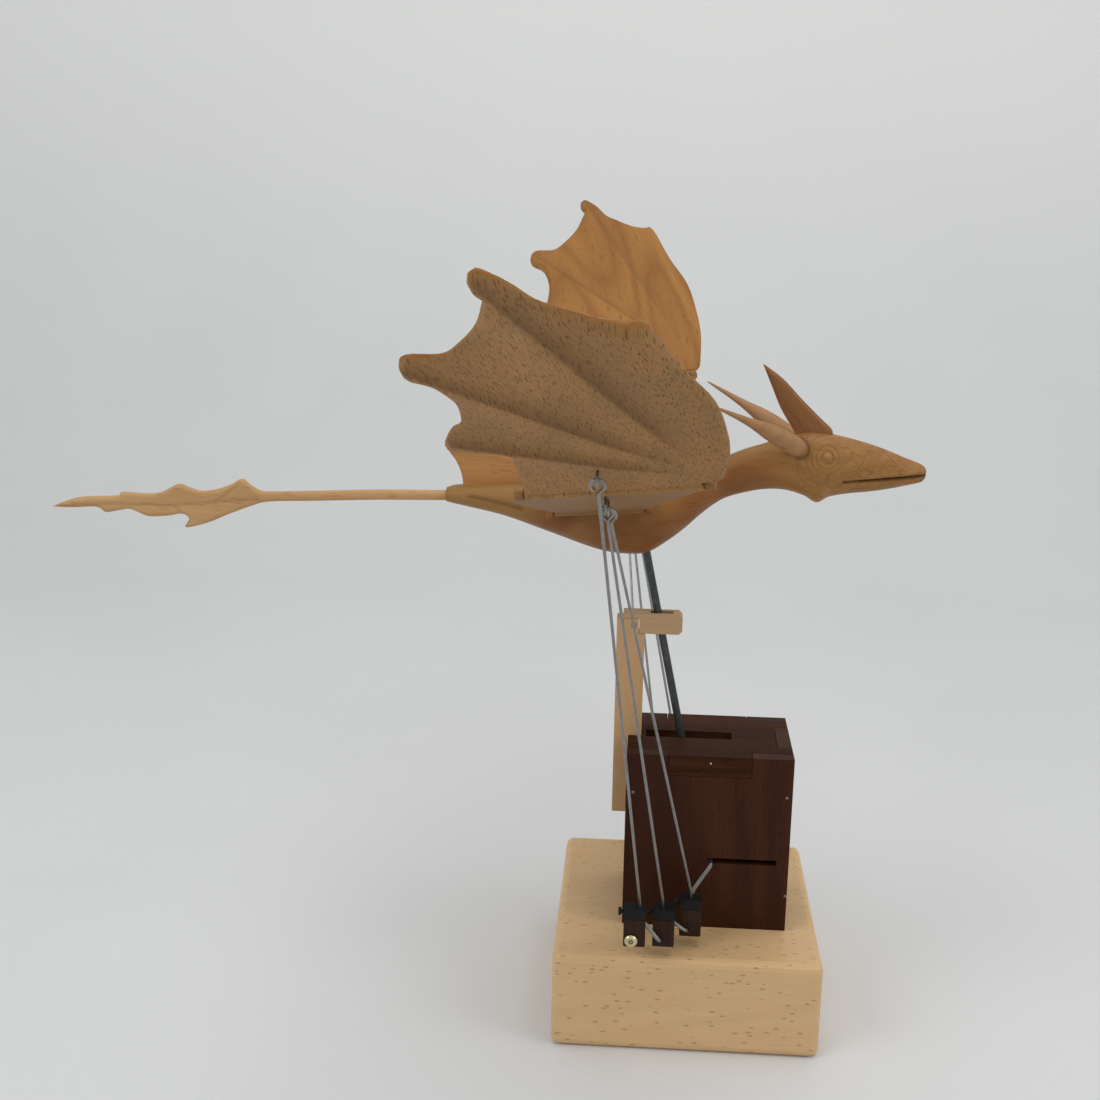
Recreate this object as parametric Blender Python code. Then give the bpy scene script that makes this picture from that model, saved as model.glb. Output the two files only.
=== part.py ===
"""Carved wooden flying dragon that beats its jointed wings over a walnut crank box on a beech block.

+X is the way the dragon flies, -Y is the near side, +Z is up; the origin is the middle of the block's underside.
"""
import math

import bmesh
import bpy
from mathutils import Matrix, Vector
from mathutils.geometry import delaunay_2d_cdt

# Clearances
GAP = 0.0003
RUN = 0.0005

# Beech block
BASE_LENGTH = 0.170
BASE_DEPTH = 0.172
BASE_HEIGHT = 0.065
BASE_ROUND = 0.005

# Walnut box
BOX_SHIFT = 0.011
BOX_LENGTH = 0.106
BOX_DEPTH = 0.074
BOX_HEIGHT = 0.1194
WALL = 0.009
TOP_THICK = 0.0135
TAB_LENGTH = 0.053
TAB_DEPTH = 0.036
MID_Y = -0.005
TOP_SLOT_LENGTH = 0.056
TOP_SLOT_WIDTH = 0.012
TOP_SLOT_INSET = 0.012
WALL_SLOT_LENGTH = 0.0435
WALL_SLOT_HEIGHT = 0.0036
WALL_SLOT_RISE = 0.0477
WALL_SLOT_INSET = 0.0545

# Beech upright with its slotted guide arm
UPRIGHT_THICK = 0.018
UPRIGHT_WIDTH = 0.012
UPRIGHT_LAP = 0.0092
UPRIGHT_DROP = 0.054
UPRIGHT_RISE = 0.0803
ARM_LENGTH = 0.038
ARM_HEIGHT = 0.0132
ARM_LIP = 0.0032
ARM_SETBACK = 0.0040
ARM_STEP = 0.0040
ARM_SLOT_LENGTH = 0.0145
ARM_END = 0.006
ARM_NOSE = 0.0022

# Steel post
POST_RADIUS = 0.0025
POST_LEAN = math.radians(12.1)
POST_SOCKET = 0.018
POST_SET_BACK = 0.0013
BELLY_DROP = 0.0335
DRAGON_RISE = 0.0801

# Crank
# what the box's length leaves over, behind the post and ahead of the crank
CRANK_END_ROOM = 0.0823
CRANK_RISE = 0.0197
CRANK_THROW = 0.009
SHAFT_RADIUS = 0.003
DISC_RADIUS = 0.014
DISC_THICK = 0.004
CRANK_PIN_RADIUS = 0.0018
CRANK_PIN_LENGTH = 0.006
PIN_STANDOFF = 0.0004
YOKE_THICK = 0.009
YOKE_HALF = 0.0038
YOKE_COLLAR = 0.012
YOKE_END = 0.0025
YOKE_COLLAR_WALL = 0.0022
BUSH_RADIUS = 0.0052
BUSH_FLANGE = 0.0075
BUSH_LIP = 0.0015
HANDLE_CLEAR = 0.006
HANDLE_REACH = 0.034
HANDLE_THICK = 0.006
HANDLE_HALF = 0.006
KNOB_RADIUS = 0.0075
KNOB_LENGTH = 0.022
KNOB_PIN_RADIUS = 0.0020

# Bent carrying wires and the clamp blocks that swing on them
WIRE_RADIUS = 0.0013
BLOCK_WIDTH = 0.0135
BLOCK_DEPTH = 0.010
BLOCK_HEIGHT = 0.0185
BLOCK_PITCH = 0.015
BLOCK_STANDOFF = 0.022
PIN_INSET = 0.0048
CLAMP_HEIGHT = 0.0062
SCREW_RADIUS = 0.0012
SCREW_HEAD = 0.0026
CAP_RADIUS = 0.004
CAP_THICK = 0.002
# place of each block's pin behind the slot's rear end, height over the beech block, and the rod's shift from the pin
BLOCK_PINS = ((0.0482, 0.0200, 0.0048), (0.0300, 0.0125, 0.0012), (0.0129, 0.0123, 0.0020))

# Push rods and screw eyes
ROD_RADIUS = 0.0009
EYE_WIRE = 0.0008
EYE_RADIUS = 0.0036
EYE_NECK = 0.0012
# place of each eye along the dragon, out from the middle, and below its panel
EYES = ((-0.0181, 0.217, 0.0078), (-0.0157, 0.157, 0.0075), (-0.0148, 0.136, 0.0075))

# Wings, in the dragon's own frame
ROOT_OUT = 0.0240
ROOT_SPLAY = 0.070
ROOT_REAR = -0.0506
ROOT_FRONT = 0.0049
PANEL_PITCH = 0.065
INNER_SLOPE = 0.300
INNER_START = -0.0071
OUTER_SLOPE = 0.544
OUTER_START = -0.0516
PANEL_THICK = 0.0034
BARREL = 0.0032
HINGE_PIN = 0.0012
LUG = 0.005
PAST_LUG = 0.0068
HINGE_REAR = -0.0624
HINGE_FRONT = 0.0401
PLATE_STEP = 0.0012
PLATE_LIFT = 0.003
FINGER_WIDTH = 0.0075
FINGER_BELOW = 0.0026
FINGER_ABOVE = 0.0014

# Tail, crest and horns
TAIL_THICK = 0.005
TAIL_SOCKET = 0.008
EDGE_ROUND = 0.0008
FIN_THICK = 0.005
CREST_THICK = 0.005
CREST_SOCKET = 0.004
SKULL_TOP = 0.0455
HORN_RADIUS = 0.006
MOUTH_OPEN = 0.0015
MOUTH_CORNER = (0.132, 0.0179)
MOUTH_END = (0.190, 0.0215)

# Body sections: place along, underside, back, half width
BODY = (
    (-0.1210, -0.0046, 0.0046, 0.0052), (-0.1160, -0.0056, 0.0062, 0.0070), (-0.1084, -0.0070, 0.0068, 0.0090),
    (-0.0834, -0.0125, 0.0090, 0.0120), (-0.0534, -0.0225, 0.0110, 0.0160), (-0.0234, -0.0325, 0.0130, 0.0187),
    (-0.0064, -0.0348, 0.0145, 0.0192), (0.0076, -0.0335, 0.0160, 0.0190), (0.0196, -0.0260, 0.0175, 0.0182),
    (0.0306, -0.0170, 0.0195, 0.0165), (0.0416, -0.0065, 0.0235, 0.0145), (0.0536, 0.0025, 0.0290, 0.0123),
    (0.0666, 0.0070, 0.0347, 0.0112), (0.0786, 0.0095, 0.0387, 0.0110), (0.0916, 0.0097, 0.0440, 0.0125),
    (0.1041, 0.0075, 0.0468, 0.0148), (0.1125, 0.0028, 0.0466, 0.0160), (0.1196, 0.0055, 0.0455, 0.0156),
    (0.1316, 0.0085, 0.0430, 0.0138), (0.1420, 0.0097, 0.0403, 0.0118), (0.1536, 0.0115, 0.0365, 0.0096),
    (0.1656, 0.0145, 0.0312, 0.0072), (0.1751, 0.0185, 0.0266, 0.0042), (0.1788, 0.0212, 0.0248, 0.0020),
)

# Shared places
BODY_REACH = 0.03
BOX_REAR = BOX_SHIFT - BOX_LENGTH / 2
BOX_FRONT = BOX_SHIFT + BOX_LENGTH / 2
BOX_TOP = BASE_HEIGHT + BOX_HEIGHT
LID_UNDER = BOX_TOP - TOP_THICK
NEAR_IN = MID_Y - BOX_DEPTH / 2 + WALL
FAR_IN = MID_Y + BOX_DEPTH / 2 - WALL
ARM_TOP = BOX_TOP + UPRIGHT_RISE + ARM_LIP
ARM_REAR = BOX_REAR - UPRIGHT_LAP + ARM_SETBACK
ARM_FRONT = ARM_REAR + ARM_LENGTH
SLOT_FRONT = ARM_FRONT - ARM_END
GUIDE_X = SLOT_FRONT - ARM_SLOT_LENGTH / 2 - POST_SET_BACK
GUIDE_Z = ARM_TOP - ARM_HEIGHT / 2
RISE = Vector((-math.sin(POST_LEAN), 0, math.cos(POST_LEAN)))
ACROSS = Vector((math.cos(POST_LEAN), 0, math.sin(POST_LEAN)))
DRAGON_Z = GUIDE_Z + DRAGON_RISE
DRAGON_X = GUIDE_X - DRAGON_RISE * math.tan(POST_LEAN)
CRANK_Z = BASE_HEIGHT + CRANK_RISE
CRANK_AHEAD = BOX_LENGTH - CRANK_END_ROOM
POST_AT_CRANK = GUIDE_X + (GUIDE_Z - CRANK_Z) * math.tan(POST_LEAN)
CRANK = Vector((POST_AT_CRANK + CRANK_AHEAD, MID_Y, CRANK_Z))
WIRE_X = BOX_REAR + WALL_SLOT_INSET + WIRE_RADIUS + GAP
WIRE_Z = BASE_HEIGHT + WALL_SLOT_RISE


def material(name, colour, roughness, metallic=0.0):
    made = bpy.data.materials.new(name)
    made.use_nodes = True
    shader = made.node_tree.nodes["Principled BSDF"]
    shader.inputs["Base Color"].default_value = (*colour, 1.0)
    shader.inputs["Roughness"].default_value = roughness
    shader.inputs["Metallic"].default_value = metallic
    made.diffuse_color = (*colour, 1.0)
    return made


def point(side, x, out, z):
    """A place in the dragon's frame, out from its middle plane on the near (-1) or far (+1) side."""
    return Vector((DRAGON_X + x, MID_Y + side * out, DRAGON_Z + z))


def finish(name, mesh, look, frame=None, smooth=False):
    """Link a mesh modelled in place, with its origin on its frame's axis."""
    item = bpy.data.objects.new(name, mesh)
    bpy.context.scene.collection.objects.link(item)
    if frame is not None:
        mesh.transform(Matrix.Translation(-WORLD[frame.name]))
        item.parent = frame
    if look is not None:
        mesh.materials.append(look)
    if smooth:
        mesh.shade_smooth()
        mesh.set_sharp_from_angle(angle=math.radians(40))
    return item


def from_bmesh(bm):
    bmesh.ops.recalc_face_normals(bm, faces=bm.faces)
    mesh = bpy.data.meshes.new("form")
    bm.to_mesh(mesh)
    bm.free()
    return mesh


def box_mesh(low, high, rounding=0.0, segments=1):
    bm = bmesh.new()
    bmesh.ops.create_cube(bm, size=1.0)
    low = Vector(low)
    high = Vector(high)
    bmesh.ops.scale(bm, vec=high - low, verts=bm.verts)
    bmesh.ops.translate(bm, vec=(low + high) / 2, verts=bm.verts)
    if rounding > 0:
        bmesh.ops.bevel(bm, geom=bm.edges[:], offset=rounding, segments=segments, profile=0.5, affect="EDGES")
    return from_bmesh(bm)


def slab_mesh(outline, along, start, stop, rounding=0.0):
    """An outline in the plane across one axis, extruded along that axis."""
    bm = bmesh.new()
    spread = {"Y": lambda a, b: Vector((a, start, b)), "Z": lambda a, b: Vector((a, b, start)),
              "X": lambda a, b: Vector((start, a, b))}[along]
    way = {"X": Vector((1, 0, 0)), "Y": Vector((0, 1, 0)), "Z": Vector((0, 0, 1))}[along]
    face = bm.faces.new([bm.verts.new(spread(a, b)) for a, b in outline])
    grown = bmesh.ops.extrude_face_region(bm, geom=[face])
    moved = [v for v in grown["geom"] if isinstance(v, bmesh.types.BMVert)]
    bmesh.ops.translate(bm, vec=way * (stop - start), verts=moved)
    bmesh.ops.recalc_face_normals(bm, faces=bm.faces)
    if rounding > 0:
        rims = [e for e in bm.edges if abs((e.verts[0].co - e.verts[1].co).dot(way)) < 1e-7]
        bmesh.ops.bevel(bm, geom=rims, offset=rounding, segments=1, profile=0.5, affect="EDGES", clamp_overlap=True)
    flats = [f for f in bm.faces if len(f.verts) > 4]
    bmesh.ops.triangulate(bm, faces=flats)
    return from_bmesh(bm)


def frame_of(way):
    way = way.normalized()
    side = way.orthogonal().normalized()
    return side, way.cross(side), way


def turned_mesh(start, way, profile, sides=16, bore=0.0):
    """A solid of revolution: profile gives (distance along, radius); a bore leaves a hole through it."""
    bm = bmesh.new()
    side, up, way = frame_of(Vector(way))
    rings = []
    steps = list(profile)
    if bore > 0:
        steps = steps + [(profile[-1][0], bore), (profile[0][0], bore)]
    for distance, radius in steps:
        ring = []
        for i in range(sides):
            turn = 2 * math.pi * i / sides
            spot = Vector(start) + way * distance + (side * math.cos(turn) + up * math.sin(turn)) * radius
            ring.append(bm.verts.new(spot))
        rings.append(ring)
    pairs = list(zip(rings, rings[1:]))
    if bore > 0:
        pairs.append((rings[-1], rings[0]))
    for a, b in pairs:
        for i in range(sides):
            j = (i + 1) % sides
            bm.faces.new((a[i], a[j], b[j], b[i]))
    if bore == 0:
        bm.faces.new(rings[0][::-1])
        bm.faces.new(rings[-1])
    return from_bmesh(bm)


def rod_mesh(start, stop, radius, sides=12):
    length = (Vector(stop) - Vector(start)).length
    return turned_mesh(start, Vector(stop) - Vector(start), ((0, radius), (length, radius)), sides)


def eased(path, radius, steps=3):
    """A polyline with each corner replaced by a short curve."""
    out = [path[0]]
    for before, corner, after in zip(path, path[1:], path[2:]):
        back = before - corner
        ahead = after - corner
        cut = min(radius, back.length * 0.45, ahead.length * 0.45)
        a = corner + back.normalized() * cut
        b = corner + ahead.normalized() * cut
        for i in range(steps + 1):
            t = i / steps
            out.append(a * (1 - t) ** 2 + corner * 2 * t * (1 - t) + b * t ** 2)
    out.append(path[-1])
    return out


def wire_mesh(path, radius, sides=6):
    """A round wire swept along a path without twisting."""
    bm = bmesh.new()
    ways = []
    for i in range(len(path)):
        ahead = path[min(i + 1, len(path) - 1)] - path[max(i - 1, 0)]
        ways.append(ahead.normalized())
    side = ways[0].orthogonal().normalized()
    rings = []
    for i, spot in enumerate(path):
        if i:
            side = ways[i - 1].rotation_difference(ways[i]) @ side
        side = (side - ways[i] * side.dot(ways[i])).normalized()
        up = ways[i].cross(side)
        ring = []
        for k in range(sides):
            turn = 2 * math.pi * k / sides
            ring.append(bm.verts.new(spot + (side * math.cos(turn) + up * math.sin(turn)) * radius))
        rings.append(ring)
    for a, b in zip(rings, rings[1:]):
        for k in range(sides):
            j = (k + 1) % sides
            bm.faces.new((a[k], a[j], b[j], b[k]))
    bm.faces.new(rings[0][::-1])
    bm.faces.new(rings[-1])
    return from_bmesh(bm)


def loop_path(centre, stem, across, radius, steps=12):
    """The open eye at the end of a wire: it starts beside the stem and runs round to the stem again."""
    path = []
    for i in range(steps + 1):
        turn = math.radians(30 + 300 * i / steps)
        path.append(centre + (stem * math.cos(turn) + across * math.sin(turn)) * radius)
    return path


def boolean(item, tool_mesh, operation="DIFFERENCE", frame=None):
    """Cut or join with a guide that stays in the file as wire."""
    guide = finish(item.name + "_guide", tool_mesh, None, frame)
    guide.hide_render = True
    guide.display_type = "WIRE"
    step = item.modifiers.new(operation.title(), "BOOLEAN")
    step.operation = operation
    step.solver = "EXACT"
    step.object = guide
    return item


def membrane_mesh(outline, place, below, above, spacing):
    """A carved panel over a flat outline: place() puts a point in space, below() and above() give its two faces."""
    ring = []
    for (ax, ay), (bx, by) in zip(outline, outline[1:] + outline[:1]):
        count = max(1, round(math.hypot(bx - ax, by - ay) / spacing))
        ring += [(ax + (bx - ax) * i / count, ay + (by - ay) * i / count) for i in range(count)]

    def clear(x, y):
        inside = False
        near = 1.0
        for (ax, ay), (bx, by) in zip(outline, outline[1:] + outline[:1]):
            if (ay > y) != (by > y) and x < (bx - ax) * (y - ay) / (by - ay) + ax:
                inside = not inside
            length = (bx - ax) ** 2 + (by - ay) ** 2
            t = max(0.0, min(1.0, ((x - ax) * (bx - ax) + (y - ay) * (by - ay)) / length))
            near = min(near, math.hypot(x - ax - t * (bx - ax), y - ay - t * (by - ay)))
        return inside and near > spacing * 0.55

    inner = []
    low_x = min(p[0] for p in outline)
    low_y = min(p[1] for p in outline)
    wide = max(p[0] for p in outline) - low_x
    tall = max(p[1] for p in outline) - low_y
    for row in range(int(tall / (spacing * 0.866)) + 1):
        for column in range(int(wide / spacing) + 2):
            x = low_x + (column + 0.5 * (row % 2)) * spacing
            y = low_y + row * spacing * 0.866
            if clear(x, y):
                inner.append((x, y))
    flat = [Vector(p) for p in ring + inner]
    spots, _, faces, _, _, _ = delaunay_2d_cdt(flat, [], [list(range(len(ring)))], 1, 1e-7)
    bm = bmesh.new()
    top = [bm.verts.new(place(p.x, p.y, above(p.x, p.y))) for p in spots]
    low = [bm.verts.new(place(p.x, p.y, -below(p.x, p.y))) for p in spots]
    used = {}
    for a, b, c in faces:
        bm.faces.new((top[a], top[b], top[c]))
        bm.faces.new((low[c], low[b], low[a]))
        for edge in ((a, b), (b, c), (c, a)):
            used[frozenset(edge)] = used.get(frozenset(edge), []) + [edge]
    for edge in used.values():
        if len(edge) == 1:
            a, b = edge[0]
            bm.faces.new((top[b], top[a], low[a], low[b]))
    for v in [v for v in bm.verts if not v.link_faces]:
        bm.verts.remove(v)
    return from_bmesh(bm)


for old in list(bpy.data.objects):
    bpy.data.objects.remove(old)

# Woods and metals
beech = material("beech", (0.62, 0.43, 0.25), 0.55)
upright_beech = material("pale_beech", (0.58, 0.40, 0.23), 0.6)
walnut = material("walnut", (0.050, 0.022, 0.014), 0.5)
oiled = material("oiled_wood", (0.42, 0.19, 0.065), 0.42)
wing_wood = material("wing_beech", (0.36, 0.22, 0.125), 0.6)
crest_wood = material("crest_wood", (0.38, 0.145, 0.055), 0.45)
tail_wood = material("tail_wood", (0.45, 0.24, 0.11), 0.5)
steel = material("rod_steel", (0.36, 0.35, 0.34), 0.35, 1.0)
dark_steel = material("post_steel", (0.075, 0.080, 0.080), 0.4, 0.8)
black = material("black_steel", (0.012, 0.012, 0.014), 0.45, 0.3)
brass = material("brass", (0.66, 0.58, 0.34), 0.35, 1.0)

# Frames of the moving bodies, each on its joint's axis
WORLD = {}


def frame(name, spot, parent=None):
    made = bpy.data.objects.new(name, None)
    bpy.context.scene.collection.objects.link(made)
    made.empty_display_size = 0.01
    WORLD[name] = Vector(spot)
    made.location = Vector(spot)
    if parent is not None:
        made.parent = parent
        made.location = Vector(spot) - WORLD[parent.name]
    return made


def inner_z(x, out):
    """Height of the inner panels' middle plane."""
    return INNER_START + PANEL_PITCH * x + INNER_SLOPE * out


def outer_z(out):
    return OUTER_START + OUTER_SLOPE * out


def hinge_out(x):
    """How far out the two planes of a wing meet."""
    return (INNER_START - OUTER_START + PANEL_PITCH * x) / (OUTER_SLOPE - INNER_SLOPE)


def root_point(side, x):
    out = ROOT_OUT + ROOT_SPLAY * x
    return point(side, x, out, inner_z(x, out))


def hinge_point(side, x):
    out = hinge_out(x)
    return point(side, x, out, outer_z(out))


crank_frame = frame("crank_axis", CRANK)
knob_frame = frame("knob_axis", CRANK - Vector((HANDLE_REACH, 0, 0)), crank_frame)
bob_frame = frame("post_axis", (GUIDE_X, MID_Y, GUIDE_Z))
inner_frame = {}
outer_frame = {}
for side, word in ((-1, "near"), (1, "far")):
    inner_frame[side] = frame(word + "_root_axis", root_point(side, 0.0), bob_frame)
    outer_frame[side] = frame(word + "_hinge_axis", hinge_point(side, 0.0), inner_frame[side])

# Beech block
finish("base_block", box_mesh((-BASE_LENGTH / 2, -BASE_DEPTH / 2, 0), (BASE_LENGTH / 2, BASE_DEPTH / 2, BASE_HEIGHT),
                              BASE_ROUND, 3), beech, smooth=True)

# Walnut box: near and far walls run full length, rear and front walls stand between them, the top is let in with tabs
floor = BASE_HEIGHT + GAP
tab_low = BOX_SHIFT - TAB_LENGTH / 2
tab_high = BOX_SHIFT + TAB_LENGTH / 2
wall_outline = [(BOX_REAR, floor), (BOX_FRONT, floor), (BOX_FRONT, BOX_TOP), (tab_high + GAP, BOX_TOP),
                (tab_high + GAP, LID_UNDER - GAP), (tab_low - GAP, LID_UNDER - GAP), (tab_low - GAP, BOX_TOP),
                (BOX_REAR, BOX_TOP)]
near_face = MID_Y - BOX_DEPTH / 2
far_face = MID_Y + BOX_DEPTH / 2
near_wall = finish("near_wall", slab_mesh(wall_outline, "Y", near_face, NEAR_IN), walnut)
far_wall = finish("far_wall", slab_mesh(wall_outline, "Y", FAR_IN, far_face), walnut)
slot_rear = BOX_REAR + WALL_SLOT_INSET
for wall, low, high in ((near_wall, near_face - 0.01, NEAR_IN + 0.01), (far_wall, FAR_IN - 0.01, far_face + 0.01)):
    boolean(wall, box_mesh((slot_rear, low, WIRE_Z - WALL_SLOT_HEIGHT / 2),
                           (slot_rear + WALL_SLOT_LENGTH, high, WIRE_Z + WALL_SLOT_HEIGHT / 2)))
boolean(near_wall, rod_mesh((CRANK.x, near_face - 0.01, CRANK.z), (CRANK.x, NEAR_IN + 0.01, CRANK.z), SHAFT_RADIUS, 16))
boolean(far_wall, rod_mesh((CRANK.x, FAR_IN - 0.01, CRANK.z), (CRANK.x, far_face + 0.01, CRANK.z), BUSH_RADIUS + GAP, 24))
tab_near = MID_Y - TAB_DEPTH / 2
tab_far = MID_Y + TAB_DEPTH / 2
end_outline = [(NEAR_IN + GAP, floor), (FAR_IN - GAP, floor), (FAR_IN - GAP, LID_UNDER - GAP), (tab_far, LID_UNDER - GAP),
               (tab_far, BOX_TOP), (tab_near, BOX_TOP), (tab_near, LID_UNDER - GAP), (NEAR_IN + GAP, LID_UNDER - GAP)]
finish("rear_wall", slab_mesh(end_outline, "X", BOX_REAR, BOX_REAR + WALL), walnut)
finish("front_wall", slab_mesh(end_outline, "X", BOX_FRONT - WALL, BOX_FRONT), walnut)
left = BOX_REAR
right = BOX_FRONT
notch_rear = BOX_REAR + WALL + GAP
notch_front = BOX_FRONT - WALL - GAP
top_outline = [
    (left, NEAR_IN + GAP), (tab_low, NEAR_IN + GAP), (tab_low, near_face), (tab_high, near_face), (tab_high, NEAR_IN + GAP),
    (right, NEAR_IN + GAP), (right, tab_near - GAP), (notch_front, tab_near - GAP), (notch_front, tab_far + GAP),
    (right, tab_far + GAP), (right, FAR_IN - GAP), (tab_high, FAR_IN - GAP), (tab_high, far_face), (tab_low, far_face),
    (tab_low, FAR_IN - GAP), (left, FAR_IN - GAP), (left, tab_far + GAP), (notch_rear, tab_far + GAP),
    (notch_rear, tab_near - GAP), (left, tab_near - GAP)]
box_top = finish("box_top", slab_mesh(top_outline, "Z", LID_UNDER, BOX_TOP), walnut)
slot_start = BOX_REAR + TOP_SLOT_INSET
boolean(box_top, box_mesh((slot_start, MID_Y - TOP_SLOT_WIDTH / 2, LID_UNDER - 0.01),
                          (slot_start + TOP_SLOT_LENGTH, MID_Y + TOP_SLOT_WIDTH / 2, BOX_TOP + 0.01)))

# Upright lapped over the rear wall, and the arm lapped over its head
lap_rear = BOX_REAR - UPRIGHT_LAP
head = ARM_TOP - ARM_LIP
step_x = lap_rear + UPRIGHT_THICK - ARM_STEP
upright_outline = [
    (lap_rear, BOX_TOP - UPRIGHT_DROP), (BOX_REAR - GAP, BOX_TOP - UPRIGHT_DROP), (BOX_REAR - GAP, BOX_TOP + GAP),
    (lap_rear + UPRIGHT_THICK, BOX_TOP + GAP), (lap_rear + UPRIGHT_THICK, ARM_TOP - ARM_HEIGHT - GAP),
    (step_x, ARM_TOP - ARM_HEIGHT - GAP), (step_x, head - GAP), (lap_rear, head - GAP)]
finish("upright", slab_mesh(upright_outline, "Y", MID_Y - UPRIGHT_WIDTH / 2, MID_Y + UPRIGHT_WIDTH / 2), upright_beech)
arm_outline = [
    (ARM_REAR, head), (step_x + GAP, head), (step_x + GAP, ARM_TOP - ARM_HEIGHT), (ARM_FRONT - ARM_NOSE, ARM_TOP - ARM_HEIGHT),
    (ARM_FRONT, ARM_TOP - ARM_HEIGHT + ARM_NOSE), (ARM_FRONT, ARM_TOP - ARM_NOSE), (ARM_FRONT - ARM_NOSE, ARM_TOP), (ARM_REAR, ARM_TOP)]
guide_arm = finish("guide_arm", slab_mesh(arm_outline, "Y", MID_Y - UPRIGHT_WIDTH / 2, MID_Y + UPRIGHT_WIDTH / 2), upright_beech)
boolean(guide_arm, box_mesh((SLOT_FRONT - ARM_SLOT_LENGTH, MID_Y - POST_RADIUS - GAP * 2, ARM_TOP - ARM_HEIGHT - 0.01),
                            (SLOT_FRONT, MID_Y + POST_RADIUS + GAP * 2, ARM_TOP + 0.01)))

# Crank: an overhung disc and pin behind the yoke, with the handle outside the far wall
disc_near = MID_Y + YOKE_THICK / 2 + PIN_STANDOFF + CRANK_PIN_LENGTH
disc_far = disc_near + DISC_THICK
handle_near = BASE_DEPTH / 2 + HANDLE_CLEAR
handle_far = handle_near + HANDLE_THICK
finish("crankshaft", rod_mesh((CRANK.x, disc_near + GAP, CRANK.z), (CRANK.x, handle_far, CRANK.z), SHAFT_RADIUS, 16),
       steel, crank_frame, True)
finish("crank_disc", turned_mesh((CRANK.x, disc_near, CRANK.z), (0, 1, 0), ((0, DISC_RADIUS), (DISC_THICK, DISC_RADIUS)), 24),
       brass, crank_frame, True)
disc = bpy.data.objects["crank_disc"]
boolean(disc, rod_mesh((CRANK.x, disc_near - 0.01, CRANK.z), (CRANK.x, disc_far + 0.01, CRANK.z), SHAFT_RADIUS + GAP, 16),
        frame=crank_frame)
pin_spot = CRANK - ACROSS * CRANK_THROW
boolean(disc, rod_mesh((pin_spot.x, disc_near - 0.01, pin_spot.z), (pin_spot.x, disc_far + 0.01, pin_spot.z),
                       CRANK_PIN_RADIUS + GAP, 12), frame=crank_frame)
finish("crank_pin", rod_mesh((pin_spot.x, disc_near - CRANK_PIN_LENGTH, pin_spot.z), (pin_spot.x, disc_far, pin_spot.z),
                             CRANK_PIN_RADIUS, 12), steel, crank_frame, True)
wall_in = FAR_IN + RUN
finish("far_bush", turned_mesh((CRANK.x, wall_in, CRANK.z), (0, 1, 0),
                               ((0, BUSH_RADIUS), (far_face - wall_in + GAP, BUSH_RADIUS),
                                (far_face - wall_in + GAP, BUSH_FLANGE), (far_face - wall_in + BUSH_LIP, BUSH_FLANGE)),
                               24, SHAFT_RADIUS + GAP), brass, smooth=True)
handle_end = CRANK.x - HANDLE_REACH
handle_outline = []
for centre, start in ((CRANK.x, -90), (handle_end, 90)):
    for i in range(9):
        turn = math.radians(start + 180 * i / 8)
        handle_outline.append((centre + HANDLE_HALF * math.cos(turn), CRANK.z + HANDLE_HALF * math.sin(turn)))
handle = finish("handle_arm", slab_mesh(handle_outline, "Y", handle_near, handle_far), walnut, crank_frame)
boolean(handle, rod_mesh((CRANK.x, handle_near - 0.01, CRANK.z), (CRANK.x, handle_far + 0.01, CRANK.z), SHAFT_RADIUS + GAP, 16),
        frame=crank_frame)
boolean(handle, rod_mesh((handle_end, handle_near - 0.01, CRANK.z), (handle_end, handle_far + 0.01, CRANK.z),
                         KNOB_PIN_RADIUS + GAP, 12), frame=crank_frame)
knob_near = handle_far + RUN
finish("knob_pin", turned_mesh((handle_end, handle_near, CRANK.z), (0, 1, 0),
                               ((0, KNOB_PIN_RADIUS), (HANDLE_THICK + RUN * 2 + KNOB_LENGTH, KNOB_PIN_RADIUS),
                                (HANDLE_THICK + RUN * 2 + KNOB_LENGTH, KNOB_PIN_RADIUS * 2),
                                (HANDLE_THICK + RUN * 2 + KNOB_LENGTH + 0.0015, KNOB_PIN_RADIUS * 2)), 12),
       steel, crank_frame, True)
finish("knob", turned_mesh((handle_end, knob_near, CRANK.z), (0, 1, 0),
                           ((0, KNOB_RADIUS * 0.62), (0.003, KNOB_RADIUS * 0.7), (KNOB_LENGTH * 0.55, KNOB_RADIUS),
                            (KNOB_LENGTH - 0.003, KNOB_RADIUS * 0.95), (KNOB_LENGTH, KNOB_RADIUS * 0.7)),
                           20, KNOB_PIN_RADIUS + GAP), walnut, knob_frame, True)

# Post, with the yoke that the crank pin lifts at its foot
guide = Vector((GUIDE_X, MID_Y, GUIDE_Z))
foot = guide + RISE * (CRANK - guide).dot(RISE)
belly = guide + RISE * ((DRAGON_RISE - BELLY_DROP) / RISE.z)
socket_top = belly + RISE * POST_SOCKET
finish("post", rod_mesh(foot + RISE * (YOKE_HALF + GAP), socket_top, POST_RADIUS, 16), dark_steel, bob_frame, True)
slot_half = CRANK_PIN_RADIUS + GAP
reach = CRANK_THROW + CRANK_PIN_RADIUS + YOKE_END
collar = POST_RADIUS + YOKE_COLLAR_WALL
offset = (foot - CRANK).dot(ACROSS)
yoke_outline = [(offset - collar, -YOKE_HALF), (reach, -YOKE_HALF), (reach, YOKE_HALF), (offset + collar, YOKE_HALF),
                (offset + collar, YOKE_COLLAR), (offset - collar, YOKE_COLLAR)]
turn_over = Matrix((ACROSS, Vector((0, 1, 0)), RISE)).transposed().to_4x4()
place_yoke = Matrix.Translation(CRANK) @ turn_over
yoke_mesh = slab_mesh(yoke_outline, "Y", -YOKE_THICK / 2, YOKE_THICK / 2)
yoke_mesh.transform(place_yoke)
yoke = finish("yoke", yoke_mesh, dark_steel, bob_frame)
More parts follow.
